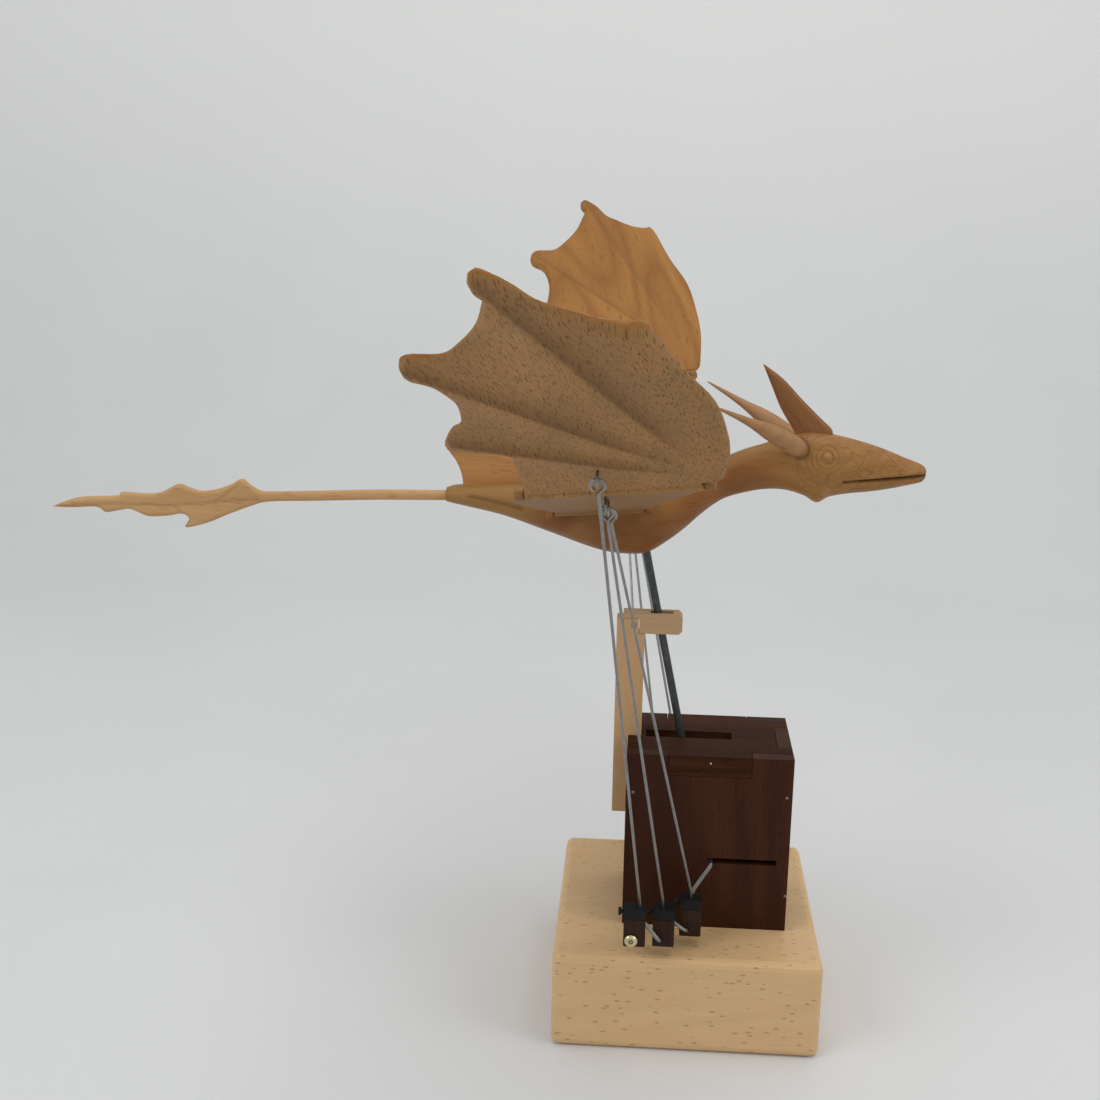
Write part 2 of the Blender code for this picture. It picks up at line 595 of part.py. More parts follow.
slot_mesh = box_mesh((-CRANK_THROW - slot_half, -0.02, -slot_half), (CRANK_THROW + slot_half, 0.02, slot_half))
slot_mesh.transform(place_yoke)
boolean(yoke, slot_mesh, frame=bob_frame)
boolean(yoke, rod_mesh(foot + RISE * YOKE_HALF, foot + RISE * 0.03, POST_RADIUS + GAP, 16), frame=bob_frame)

# Dragon's body: elliptic sections along the spine
bm = bmesh.new()
rings = []
SECTION = 20
for x, under, back, half in BODY:
    ring = []
    for i in range(SECTION):
        turn = 2 * math.pi * i / SECTION
        ring.append(bm.verts.new(point(1, x, half * math.cos(turn), (under + back) / 2 + (back - under) / 2 * math.sin(turn))))
    rings.append(ring)
for a, b in zip(rings, rings[1:]):
    for i in range(SECTION):
        j = (i + 1) % SECTION
        bm.faces.new((a[i], a[j], b[j], b[i]))
bm.faces.new(rings[0][::-1])
bm.faces.new(rings[-1])
body = finish("dragon_body", from_bmesh(bm), oiled, bob_frame)
for side in (-1, 1):
    for low, high in ((ROOT_FRONT + RUN, ROOT_FRONT + RUN + LUG), (ROOT_REAR - RUN - LUG, ROOT_REAR - RUN)):
        middle = root_point(side, (low + high) / 2)
        inward = middle.copy()
        inward.y = MID_Y + side * 0.003
        lows = Vector((DRAGON_X + low, min(middle.y + side * 0.0034, inward.y), middle.z - 0.0034))
        highs = Vector((DRAGON_X + high, max(middle.y + side * 0.0034, inward.y), middle.z + 0.0034))
        boolean(body, box_mesh(lows, highs), "UNION", bob_frame)
    boolean(body, rod_mesh(root_point(side, ROOT_REAR - 0.02), root_point(side, ROOT_FRONT + 0.02), HINGE_PIN + GAP, 10),
            frame=bob_frame)
boolean(body, rod_mesh(belly - RISE * 0.02, socket_top + RISE * GAP, POST_RADIUS + GAP, 16), frame=bob_frame)
mouth_corner = DRAGON_X + MOUTH_CORNER[0]
past_snout = DRAGON_X + MOUTH_END[0]
mouth = slab_mesh([(mouth_corner, DRAGON_Z + MOUTH_CORNER[1] - MOUTH_OPEN / 5), (past_snout, DRAGON_Z + MOUTH_END[1] - MOUTH_OPEN / 2),
                   (past_snout, DRAGON_Z + MOUTH_END[1] + MOUTH_OPEN), (mouth_corner, DRAGON_Z + MOUTH_CORNER[1] + MOUTH_OPEN / 5)],
                  "Y", MID_Y - BODY_REACH, MID_Y + BODY_REACH)
boolean(body, mouth, frame=bob_frame)

# Tail: one carved piece, a slim shaft and a barbed blade
TAIL = (
    (-0.1190, 0.0025), (-0.1640, 0.0016), (-0.2060, -0.0005), (-0.2350, -0.0018), (-0.2420, -0.0012), (-0.2480, 0.0022),
    (-0.2535, 0.0060), (-0.2610, 0.0020), (-0.2700, -0.0012), (-0.2800, -0.0027), (-0.2880, -0.0007), (-0.2955, 0.0013),
    (-0.3100, -0.0052), (-0.3320, -0.0050), (-0.3360, -0.0075), (-0.3620, -0.0095), (-0.3795, -0.0160),
    (-0.3660, -0.0160), (-0.3500, -0.0152), (-0.3440, -0.0185), (-0.3360, -0.0172), (-0.3275, -0.0160),
    (-0.3160, -0.0203), (-0.3020, -0.0195), (-0.2940, -0.0180), (-0.2890, -0.0210), (-0.2915, -0.0270),
    (-0.2770, -0.0235), (-0.2620, -0.0170), (-0.2480, -0.0115), (-0.2360, -0.0082), (-0.2060, -0.0068),
    (-0.1640, -0.0048), (-0.1190, -0.0037))
front = BODY[0][0] + TAIL_SOCKET - RUN
tail_outline = [(DRAGON_X + (x if x < -0.12 else front), DRAGON_Z + z) for x, z in TAIL]
finish("tail", slab_mesh(tail_outline, "Y", MID_Y - TAIL_THICK / 2, MID_Y + TAIL_THICK / 2), tail_wood, bob_frame)
boolean(body, box_mesh((DRAGON_X + BODY[0][0] - 0.01, MID_Y - TAIL_THICK / 2 - GAP, DRAGON_Z + TAIL[-1][1] - GAP * 2),
                       (DRAGON_X + BODY[0][0] + TAIL_SOCKET, MID_Y + TAIL_THICK / 2 + GAP, DRAGON_Z + TAIL[0][1] + GAP * 2)),
        frame=bob_frame)

# Board let into the back
FIN = ((-0.1105, 0.0036), (-0.0480, 0.0082), (-0.0480, 0.0118), (-0.0640, 0.0200), (-0.0850, 0.0275), (-0.1050, 0.0302),
       (-0.1191, 0.0296), (-0.1150, 0.0222), (-0.1118, 0.0150), (-0.1105, 0.0085))
fin_outline = [(DRAGON_X + x, DRAGON_Z + z) for x, z in FIN]
finish("back_fin", slab_mesh(fin_outline, "Y", MID_Y - FIN_THICK / 2, MID_Y + FIN_THICK / 2, EDGE_ROUND), oiled, bob_frame)
fin_rear, fin_low = fin_outline[0]
fin_front, fin_high = fin_outline[1]
fin_cut = [(fin_rear - GAP, fin_low - GAP), (fin_front + GAP, fin_high - GAP), (fin_front + GAP, fin_high + 0.03),
           (fin_rear - GAP, fin_high + 0.03)]
boolean(body, slab_mesh(fin_cut, "Y", MID_Y - FIN_THICK / 2 - GAP, MID_Y + FIN_THICK / 2 + GAP), frame=bob_frame)

# Crest let into the skull, and two horns
seat = SKULL_TOP - CREST_SOCKET
CREST = ((0.0748, 0.0883), (0.0812, 0.0740), (0.0874, 0.0604), (0.0960, 0.0470), (0.0985, seat), (0.1180, seat),
         (0.1200, SKULL_TOP), (0.1189, 0.0490), (0.1125, 0.0548), (0.0999, 0.0668), (0.0875, 0.0793))
crest_outline = [(DRAGON_X + x, DRAGON_Z + z) for x, z in CREST]
finish("crest", slab_mesh(crest_outline, "Y", MID_Y - CREST_THICK / 2, MID_Y + CREST_THICK / 2, EDGE_ROUND), crest_wood, bob_frame)
crest_cut = [(DRAGON_X + 0.0940, DRAGON_Z + 0.056), (DRAGON_X + 0.0940, DRAGON_Z + seat - GAP),
             (DRAGON_X + 0.1206, DRAGON_Z + seat - GAP), (DRAGON_X + 0.1206, DRAGON_Z + 0.056)]
boolean(body, slab_mesh(crest_cut, "Y", MID_Y - CREST_THICK / 2 - GAP, MID_Y + CREST_THICK / 2 + GAP), frame=bob_frame)
HORN = ((0.0, 0.40), (0.04, 0.80), (0.12, 1.0), (0.26, 0.88), (0.45, 0.56), (0.65, 0.36), (0.85, 0.19), (1.0, 0.05))
for side, word in ((-1, "near"), (1, "far")):
    base = point(side, 0.1010, 0.0130, 0.0370)
    tip = point(side, 0.0434, 0.050, 0.0690)
    way = tip - base
    profile = [(t * way.length, r * HORN_RADIUS) for t, r in HORN]
    finish(word + "_horn", turned_mesh(base, way, profile, 12), oiled, bob_frame, True)
    seat_profile = [(d, r + GAP) for d, r in profile]
    seat_profile[0] = (-GAP, seat_profile[0][1])
    boolean(body, turned_mesh(base, way, seat_profile, 12), frame=bob_frame)

# Wing panels
OUTER = (
    (-0.0625, -0.0055), (-0.0590, 0.0450), (-0.0630, 0.0600), (-0.0870, 0.0625), (-0.0875, 0.0725), (-0.0830, 0.0885),
    (-0.0780, 0.0975), (-0.0770, 0.1205), (-0.0800, 0.1385), (-0.0855, 0.1515), (-0.0935, 0.1575), (-0.0955, 0.1660),
    (-0.0920, 0.1770), (-0.0770, 0.1795), (-0.0675, 0.1940), (-0.0600, 0.2115), (-0.0560, 0.2300), (-0.0545, 0.2400),
    (-0.0580, 0.2470), (-0.0585, 0.2550), (-0.0545, 0.2590), (-0.0450, 0.2505), (-0.0360, 0.2355), (-0.0280, 0.2290),
    (-0.0170, 0.2210), (-0.0040, 0.2140), (0.0045, 0.2130), (0.0190, 0.1695), (0.0335, 0.1325), (0.0410, 0.0925),
    (0.0440, 0.0625), (0.0430, 0.0275))
INNER_REAR = [(-0.0530, 0.0380), (-0.0580, 0.0600), (-0.0640, 0.0850), (-0.0662, 0.1100), (-0.0655, 0.1380)]
INNER_FRONT = [(0.0205, 0.0980), (0.0065, 0.0350)]
FINGERS = ((-0.0570, 0.2540), (-0.0940, 0.1660), (-0.0860, 0.0720), (0.0000, 0.2130))
KNUCKLE = (0.0370, 0.0275)
OUT_ANGLE = math.atan(OUTER_SLOPE)
SPAN_START = hinge_out(0.0)


def finger(x, v):
    """Height of the carved fingers that run from the front lower corner to the tips."""
    best = 0.0
    kx, kv = KNUCKLE
    for fx, fv in FINGERS:
        dx = fx - kx
        dv = fv - kv
        length = dx * dx + dv * dv
        t = max(0.0, min(1.0, ((x - kx) * dx + (v - kv) * dv) / length))
        away = math.hypot(x - kx - t * dx, v - kv - t * dv)
        ramp = min(1.0, max(0.0, (t - 0.02) / 0.4))
        best = max(best, math.exp(-(away / FINGER_WIDTH) ** 2) * ramp)
    return best


def outer_place(side):
    normal = Vector((0, -side * math.sin(OUT_ANGLE), math.cos(OUT_ANGLE)))

    def place(x, v, lift):
        out = SPAN_START + v * math.cos(OUT_ANGLE)
        return point(side, x, out, outer_z(out)) + normal * lift
    return place


def inner_place(side):
    normal = Vector((-PANEL_PITCH, -side * INNER_SLOPE, 1)).normalized()

    def place(x, out, lift):
        return point(side, x, out, inner_z(x, out)) + normal * lift
    return place


def below_outer(x, v):
    return PANEL_THICK / 2 + FINGER_BELOW * finger(x, v)


def above_outer(x, v):
    return PANEL_THICK / 2 + FINGER_ABOVE * finger(x, v)


def half_panel(x, out):
    return PANEL_THICK / 2


def hinge_v(x):
    """Distance up the outer plane of the hinge line."""
    return (hinge_out(x) - SPAN_START) / math.cos(OUT_ANGLE)


barrel_rear = HINGE_REAR + LUG + RUN
barrel_front = HINGE_FRONT - LUG - RUN
plate_front = barrel_front - PLATE_STEP
edge = BARREL + PLATE_STEP
ear_rear = HINGE_REAR + LUG - PLATE_STEP
ear_front = HINGE_FRONT - LUG + PLATE_STEP
for side, word in ((-1, "near"), (1, "far")):
    place = outer_place(side)
    outline = [(plate_front, hinge_v(plate_front)), (barrel_rear, hinge_v(barrel_rear)),
               (barrel_rear, hinge_v(barrel_rear) + BARREL + PLATE_LIFT)]
    outline += [p for p in OUTER if p[1] > hinge_v(p[0]) + BARREL + PLATE_LIFT]
    outline += [(plate_front, hinge_v(plate_front) + BARREL + PLATE_LIFT)]
    outer = finish(word + "_outer_wing", membrane_mesh(outline, place, below_outer, above_outer, 0.0088), wing_wood,
                   outer_frame[side])
    boolean(outer, rod_mesh(hinge_point(side, barrel_rear), hinge_point(side, barrel_front), BARREL, 12), "UNION",
            outer_frame[side])
    boolean(outer, rod_mesh(hinge_point(side, HINGE_REAR - 0.01), hinge_point(side, HINGE_FRONT + 0.01), HINGE_PIN + GAP, 10),
            frame=outer_frame[side])
    finish(word + "_hinge_pin", rod_mesh(hinge_point(side, HINGE_REAR), hinge_point(side, HINGE_FRONT), HINGE_PIN, 10),
           steel, inner_frame[side], True)

    place = inner_place(side)
    root = ROOT_OUT + ROOT_SPLAY * ROOT_REAR
    plate_rear = ROOT_REAR + 0.001
    plate_start = ROOT_FRONT - 0.001
    root_front = ROOT_OUT + ROOT_SPLAY * ROOT_FRONT
    outline = [(plate_start, root_front + PAST_LUG), (plate_start, root_front), (plate_rear, root),
               (plate_rear, root + PAST_LUG)]
    outline += INNER_REAR
    outline += [(HINGE_REAR, hinge_out(HINGE_REAR) - edge - 0.001), (HINGE_REAR, hinge_out(HINGE_REAR)),
                (ear_rear, hinge_out(ear_rear)), (ear_rear, hinge_out(ear_rear) - edge),
                (ear_front, hinge_out(ear_front) - edge), (ear_front, hinge_out(ear_front)),
                (HINGE_FRONT, hinge_out(HINGE_FRONT)), (HINGE_FRONT, hinge_out(HINGE_FRONT) - edge - 0.001)]
    outline += INNER_FRONT
    inner = finish(word + "_inner_wing", membrane_mesh(outline, place, half_panel, half_panel, 0.012), wing_wood,
                   inner_frame[side])
    boolean(inner, rod_mesh(root_point(side, ROOT_REAR), root_point(side, ROOT_FRONT), BARREL, 12), "UNION", inner_frame[side])
    for low, high in ((HINGE_REAR, HINGE_REAR + LUG), (HINGE_FRONT - LUG, HINGE_FRONT)):
        boolean(inner, rod_mesh(hinge_point(side, low), hinge_point(side, high), BARREL, 12), "UNION", inner_frame[side])
    boolean(inner, rod_mesh(hinge_point(side, HINGE_REAR - 0.01), hinge_point(side, HINGE_FRONT + 0.01), HINGE_PIN + GAP, 10),
            frame=inner_frame[side])
    boolean(inner, rod_mesh(root_point(side, ROOT_REAR - 0.02), root_point(side, ROOT_FRONT + 0.02), HINGE_PIN + GAP, 10),
            frame=inner_frame[side])
    finish(word + "_root_pin", rod_mesh(root_point(side, ROOT_REAR - RUN - LUG), root_point(side, ROOT_FRONT + RUN + LUG),
                                        HINGE_PIN, 10), steel, bob_frame, True)

    # Bent wire with its three block pins
    def spot(x, out, z):
        return Vector((x, MID_Y + side * out, z))

    wall_out = BOX_DEPTH / 2
    pins = []
    for number, (back, rise, shift) in enumerate(BLOCK_PINS):
        out = wall_out + BLOCK_STANDOFF + BLOCK_PITCH * (2 - number)
        pins.append((slot_rear - back, out, BASE_HEIGHT + rise))
    jog = BLOCK_PITCH / 2
    path = [spot(WIRE_X, wall_out - WALL - 0.006, WIRE_Z), spot(WIRE_X, wall_out + 0.006, WIRE_Z),
            spot(pins[2][0] + 0.003, wall_out + 0.0115, BASE_HEIGHT + 0.0315)]
    for number in (2, 1, 0):
        x, out, z = pins[number]
        path += [spot(x, out - jog, z), spot(x, out + (jog if number else BLOCK_DEPTH / 2 + CAP_THICK + RUN), z)]
        if number:
            nx, nout, nz = pins[number - 1]
            path += [spot(x + (nx - x) * 0.7, out + jog, max(z, nz) + 0.0085)]
    finish(word + "_arm_wire", wire_mesh(eased(path, 0.0032), WIRE_RADIUS, 8), steel, smooth=True)
    x, out, z = pins[0]
    finish(word + "_wire_cap", turned_mesh(spot(x, out + BLOCK_DEPTH / 2 + RUN, z), (0, side, 0),
                                           ((0, CAP_RADIUS), (CAP_THICK * 0.6, CAP_RADIUS), (CAP_THICK, CAP_RADIUS * 0.8)),
                                           16, WIRE_RADIUS + GAP), brass, smooth=True)

    # Clamp blocks, clamps with their thumb screws, rods and screw eyes
    normals = (Vector((0, -side * math.sin(OUT_ANGLE), math.cos(OUT_ANGLE))),
               Vector((-PANEL_PITCH, -side * INNER_SLOPE, 1)).normalized(),
               Vector((-PANEL_PITCH, -side * INNER_SLOPE, 1)).normalized())
    for number, (x, out, z) in enumerate(pins):
        tag = "_" + str(number + 1)
        pin = spot(x, out, z)
        own = frame(word + "_pin_axis" + tag, pin)
        rear = x - PIN_INSET
        low = z - PIN_INSET
        near_side = pin.y - BLOCK_DEPTH / 2
        block = finish(word + "_block" + tag, box_mesh((rear, near_side, low),
                                                       (rear + BLOCK_WIDTH, near_side + BLOCK_DEPTH, low + BLOCK_HEIGHT),
                                                       0.0006), walnut, own)
        boolean(block, rod_mesh(pin - Vector((0, 0.02, 0)), pin + Vector((0, 0.02, 0)), WIRE_RADIUS + RUN, 12), frame=own)
        seat_z = low + BLOCK_HEIGHT + GAP
        clamp = finish(word + "_clamp" + tag, box_mesh((rear, near_side, seat_z),
                                                       (rear + BLOCK_WIDTH, near_side + BLOCK_DEPTH, seat_z + CLAMP_HEIGHT)),
                       black, own)
        screw = turned_mesh((rear + 0.002, pin.y, seat_z + CLAMP_HEIGHT * 0.45), (-1, 0, 0),
                            ((0, SCREW_RADIUS), (0.0035, SCREW_RADIUS), (0.0035, SCREW_HEAD), (0.0055, SCREW_HEAD)), 10)
        boolean(clamp, screw, "UNION", own)
        rod_x = x + BLOCK_PINS[number][2]
        boolean(clamp, rod_mesh((rod_x, pin.y, seat_z - 0.01), (rod_x, pin.y, seat_z + CLAMP_HEIGHT + 0.01), ROD_RADIUS + GAP, 10),
                frame=own)
        eye_x, eye_out, drop = EYES[number]
        carrier = outer_frame[side] if number == 0 else inner_frame[side]
        plane = outer_z(eye_out) if number == 0 else inner_z(eye_x, eye_out)
        normal = normals[number]
        centre = point(side, eye_x, eye_out, plane) - normal * drop
        inplane = Vector((1, 0, 0)).cross(normal).normalized()
        shank = [centre + normal * drop, centre + normal * (EYE_RADIUS + EYE_NECK)]
        boolean(outer if number == 0 else inner,
                rod_mesh(centre + normal * EYE_NECK, centre + normal * (drop + GAP), EYE_WIRE + RUN, 8), frame=carrier)
        finish(word + "_eye" + tag, wire_mesh(shank + loop_path(centre, normal, inplane, EYE_RADIUS), EYE_WIRE, 6), steel,
               carrier, True)
        start = Vector((rod_x, pin.y, seat_z + GAP))
        bend = Vector((rod_x, pin.y, seat_z + CLAMP_HEIGHT + 0.003))
        lean = (centre - bend).normalized()
        ring = centre - lean * EYE_RADIUS
        athwart = (Vector((1, 0, 0)) - lean * lean.x).normalized()
        neck = ring - lean * (EYE_RADIUS + EYE_NECK)
        finish(word + "_rod" + tag, wire_mesh(eased([start, bend, neck], 0.003) + loop_path(ring, -lean, athwart, EYE_RADIUS),
                                              ROD_RADIUS, 6), steel, own, True)

body.data.shade_smooth()
body.data.set_sharp_from_angle(angle=math.radians(50))
bpy.context.view_layer.update()
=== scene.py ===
"""Carved wooden dragon on its walnut crank box: oiled and bare woods, drawn wire, black clamps."""

import math

import bmesh
import bpy
from mathutils import Matrix, Vector
from mathutils.geometry import delaunay_2d_cdt


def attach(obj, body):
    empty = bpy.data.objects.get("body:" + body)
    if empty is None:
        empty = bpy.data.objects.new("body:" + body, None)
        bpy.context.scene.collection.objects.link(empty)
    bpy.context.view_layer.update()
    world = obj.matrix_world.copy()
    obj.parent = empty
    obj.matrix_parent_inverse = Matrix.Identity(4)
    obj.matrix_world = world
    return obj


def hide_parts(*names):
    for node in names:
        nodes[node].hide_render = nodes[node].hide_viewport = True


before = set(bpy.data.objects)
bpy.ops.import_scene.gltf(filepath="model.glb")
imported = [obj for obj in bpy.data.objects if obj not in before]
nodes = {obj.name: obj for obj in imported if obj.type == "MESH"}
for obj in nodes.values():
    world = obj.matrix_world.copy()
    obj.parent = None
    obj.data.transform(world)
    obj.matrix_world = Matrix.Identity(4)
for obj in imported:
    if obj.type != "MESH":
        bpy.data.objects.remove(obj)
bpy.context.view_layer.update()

# Camera at the photograph's place
CAMERA_AT = (-0.0356, -0.9326, 0.5522)
PITCH = math.radians(14.791)
ROLL = math.radians(0.906)
YAW = math.radians(-3.692)
FOCAL_PIXELS = 1500
FRAME_PIXELS = 1100
SENSOR = 36.0
QUARTER = math.pi / 2

# Places on the model: the dragon's own frame starts on the post's line inside its chest
MID_Y = -0.005
DRAGON_X = -0.04092
DRAGON_Z = 0.3414
NEAR_FACE = -0.042

# Wing planes and hinges, measured in the dragon's frame
INNER_START = -0.0071
INNER_PITCH = 0.065
INNER_SLOPE = 0.300
OUTER_START = -0.0516
OUTER_SLOPE = 0.544
OUTER_ANGLE = math.atan(OUTER_SLOPE)
PANEL_THICK = 0.0034
BARREL = 0.0032
PIN_BORE = 0.0015
LUG = 0.005
LUG_GAP = 0.0005
CHAMFER = 0.0004
PLATE_STEP = 0.0012
PLATE_LIFT = 0.003
ROOT_OUT = 0.0240
ROOT_SPLAY = 0.070
ROOT_REAR = -0.0506
ROOT_FRONT = 0.0049
HINGE_REAR = -0.0624
HINGE_FRONT = 0.0401


def camera():
    lens = bpy.data.cameras.new("camera")
    lens.sensor_width = SENSOR
    lens.lens = FOCAL_PIXELS / FRAME_PIXELS * SENSOR
    lens.clip_start = 0.01
    holder = bpy.data.objects.new("camera", lens)
    bpy.context.scene.collection.objects.link(holder)
    forward = Vector((math.sin(YAW) * math.cos(PITCH), math.cos(YAW) * math.cos(PITCH), -math.sin(PITCH)))
    right = Vector((math.cos(YAW), -math.sin(YAW), 0))
    up = right.cross(forward)
    leaned_right = right * math.cos(ROLL) + up * math.sin(ROLL)
    leaned_up = up * math.cos(ROLL) - right * math.sin(ROLL)
    turn = Matrix((leaned_right, leaned_up, -forward)).transposed().to_4x4()
    holder.matrix_world = Matrix.Translation(CAMERA_AT) @ turn
    bpy.context.scene.camera = holder


# Node groups shared by the woods and metals
def wire_up(tree, pairs):
    for start, stop in pairs:
        tree.links.new(start, stop)


def group(name, inputs, outputs):
    """An empty shader node group with named sockets."""
    made = bpy.data.node_groups.new(name, "ShaderNodeTree")
    for label, kind, value in inputs:
        socket = made.interface.new_socket(label, in_out="INPUT", socket_type="NodeSocket" + kind)
        if value is not None:
            socket.default_value = value
    for label, kind in outputs:
        made.interface.new_socket(label, in_out="OUTPUT", socket_type="NodeSocket" + kind)
    return made, made.nodes.new("NodeGroupInput"), made.nodes.new("NodeGroupOutput")


def maths(tree, operation, a, b=None, clamp=False):
    node = tree.nodes.new("ShaderNodeMath")
    node.operation = operation
    node.use_clamp = clamp
    for socket, value in zip(node.inputs, (a, b)):
        if value is None:
            continue
        if isinstance(value, (int, float)):
            socket.default_value = value
        else:
            tree.links.new(value, socket)
    return node.outputs[0]


def blend_colour(tree, amount, a, b):
    node = tree.nodes.new("ShaderNodeMix")
    node.data_type = "RGBA"
    for socket, value in ((node.inputs[0], amount), (node.inputs[6], a), (node.inputs[7], b)):
        if isinstance(value, (int, float)):
            socket.default_value = value
        elif isinstance(value, tuple):
            socket.default_value = (*value, 1.0)
        else:
            tree.links.new(value, socket)
    return node.outputs[2]


def ramp(tree, value, low, high, start=0.0, stop=1.0):
    node = tree.nodes.new("ShaderNodeMapRange")
    node.interpolation_type = "SMOOTHSTEP"
    node.inputs["From Min"].default_value = low
    node.inputs["From Max"].default_value = high
    node.inputs["To Min"].default_value = start
    node.inputs["To Max"].default_value = stop
    tree.links.new(value, node.inputs["Value"])
    return node.outputs["Result"]


def noise(tree, vector, scale, detail=3.0, rough=0.55):
    node = tree.nodes.new("ShaderNodeTexNoise")
    node.inputs["Detail"].default_value = detail
    node.inputs["Roughness"].default_value = rough
    if isinstance(scale, (int, float)):
        node.inputs["Scale"].default_value = scale
    else:
        tree.links.new(scale, node.inputs["Scale"])
    tree.links.new(vector, node.inputs["Vector"])
    return node.outputs["Fac"]


def stretched(tree, vector, scale):
    node = tree.nodes.new("ShaderNodeVectorMath")
    node.operation = "MULTIPLY"
    tree.links.new(vector, node.inputs[0])
    if isinstance(scale, tuple):
        node.inputs[1].default_value = scale
    else:
        tree.links.new(scale, node.inputs[1])
    return node.outputs[0]


def make_grain():
    """Growth rings, fine fibres and short dark pores, along the first axis of the vector it is given."""
    tree, given, out = group("wood_grain", (
        ("Vector", "Vector", None), ("Light", "Color", None), ("Dark", "Color", None),
        ("Pore", "Color", None), ("Rings", "Float", 60.0), ("Ring Strength", "Float", 0.5),
        ("Pores", "Float", 0.5), ("Pore Scale", "Float", 420.0), ("Shade", "Float", 0.3)),
        (("Color", "Color"), ("Roughness", "Float"), ("Height", "Float")))
    vector = given.outputs["Vector"]
    slow = stretched(tree, vector, (0.12, 1.0, 1.0))
    wander = noise(tree, slow, 9.0, 2.0)
    ring_place = maths(tree, "MULTIPLY", wander, given.outputs["Rings"])
    ring = maths(tree, "FRACT", ring_place)
    soft_ring = maths(tree, "MULTIPLY", maths(tree, "ABSOLUTE", maths(tree, "SUBTRACT", ring, 0.5)), 2.0)
    fibre = noise(tree, stretched(tree, vector, (0.03, 1.0, 1.0)), 900.0, 2.0)
    tone = maths(tree, "MULTIPLY", maths(tree, "POWER", soft_ring, 1.6), given.outputs["Ring Strength"])
    colour = blend_colour(tree, tone, given.outputs["Light"], given.outputs["Dark"])
    fibre_tone = ramp(tree, fibre, 0.3, 0.7, 0.0, 0.32)
    colour = blend_colour(tree, fibre_tone, colour, given.outputs["Dark"])
    broad = noise(tree, slow, 26.0, 3.0)
    shade_tone = maths(tree, "MULTIPLY", ramp(tree, broad, 0.35, 0.7), given.outputs["Shade"])
    colour = blend_colour(tree, shade_tone, colour, given.outputs["Dark"])
    dash = noise(tree, stretched(tree, vector, (0.16, 1.0, 1.0)), given.outputs["Pore Scale"], 1.0, 0.4)
    mark = maths(tree, "MULTIPLY", ramp(tree, dash, 0.63, 0.72), given.outputs["Pores"], True)
    colour = blend_colour(tree, mark, colour, given.outputs["Pore"])
    rough = maths(tree, "ADD", maths(tree, "MULTIPLY", fibre, 0.16), maths(tree, "MULTIPLY", mark, 0.15))
    height = maths(tree, "SUBTRACT", maths(tree, "MULTIPLY", fibre, 0.5), mark)
    wire_up(tree, ((colour, out.inputs["Color"]), (rough, out.inputs["Roughness"]),
                   (height, out.inputs["Height"])))
    return tree


def make_flecks(name, spread):
    """Short ray flecks along the first axis: Size is how many to a metre, Length how drawn out they are."""
    tree, given, out = group(name, (
        ("Vector", "Vector", None), ("Size", "Float", 300.0), ("Length", "Float", 0.2),
        ("Width", "Float", 0.16), ("Share", "Float", 0.5)), (("Mask", "Float"),))
    squeeze = tree.nodes.new("ShaderNodeCombineXYZ")
    squeeze.inputs["Y"].default_value = 1.0
    squeeze.inputs["Z"].default_value = 1.0
    tree.links.new(given.outputs["Length"], squeeze.inputs["X"])
    bent = tree.nodes.new("ShaderNodeTexVoronoi")
    bent.voronoi_dimensions = spread
    wire_up(tree, ((stretched(tree, given.outputs["Vector"], squeeze.outputs[0]), bent.inputs["Vector"]),
                   (given.outputs["Size"], bent.inputs["Scale"])))
    core = maths(tree, "DIVIDE", bent.outputs["Distance"], given.outputs["Width"])
    dot = ramp(tree, core, 0.65, 1.15, 1.0, 0.0)
    pick = tree.nodes.new("ShaderNodeSeparateColor")
    tree.links.new(bent.outputs["Color"], pick.inputs["Color"])
    kept = maths(tree, "LESS_THAN", pick.outputs["Red"], given.outputs["Share"])
    strength = maths(tree, "ADD", maths(tree, "MULTIPLY", pick.outputs["Green"], 0.6), 0.4)
    mask = maths(tree, "MULTIPLY", maths(tree, "MULTIPLY", dot, kept), strength)
    wire_up(tree, ((mask, out.inputs["Mask"]),))
    return tree


def make_wear():
    """Uneven handling marks on metal, from broad and fine noise."""
    tree, given, out = group("handling", (
        ("Vector", "Vector", None), ("Scale", "Float", 300.0), ("Amount", "Float", 0.5)),
        (("Mask", "Float"), ("Roughness", "Float"), ("Height", "Float")))
    broad = noise(tree, given.outputs["Vector"], given.outputs["Scale"], 4.0, 0.6)
    streak = noise(tree, stretched(tree, given.outputs["Vector"], (1.0, 1.0, 0.06)), 2600.0, 2.0)
    mask = maths(tree, "MULTIPLY", ramp(tree, broad, 0.42, 0.68), given.outputs["Amount"])
    rough = maths(tree, "ADD", maths(tree, "MULTIPLY", broad, 0.22), maths(tree, "MULTIPLY", streak, 0.12))
    wire_up(tree, ((mask, out.inputs["Mask"]), (rough, out.inputs["Roughness"]),
                   (streak, out.inputs["Height"])))
    return tree


GRAIN = make_grain()
FLECKS = make_flecks("ray_flecks", "3D")
SHEET_FLECKS = make_flecks("sheet_flecks", "2D")
FLECK_LABELS = ("Size", "Length", "Width", "Share")
WEAR = make_wear()
GRAIN_LABELS = ("Light", "Dark", "Pore", "Rings", "Ring Strength", "Pores", "Pore Scale", "Shade")


def new_material(name):
    made = bpy.data.materials.new(name)
    made.use_nodes = True
    return made, made.node_tree, made.node_tree.nodes["Principled BSDF"]


def place_group(tree, source, vector, values):
    node = tree.nodes.new("ShaderNodeGroup")
    node.node_tree = source
    tree.links.new(vector, node.inputs["Vector"])
    for label, value in values.items():
        node.inputs[label].default_value = (*value, 1.0) if isinstance(value, tuple) else value
    return node


def place_grain(tree, vector, *values):
    return place_group(tree, GRAIN, vector, dict(zip(GRAIN_LABELS, values)))


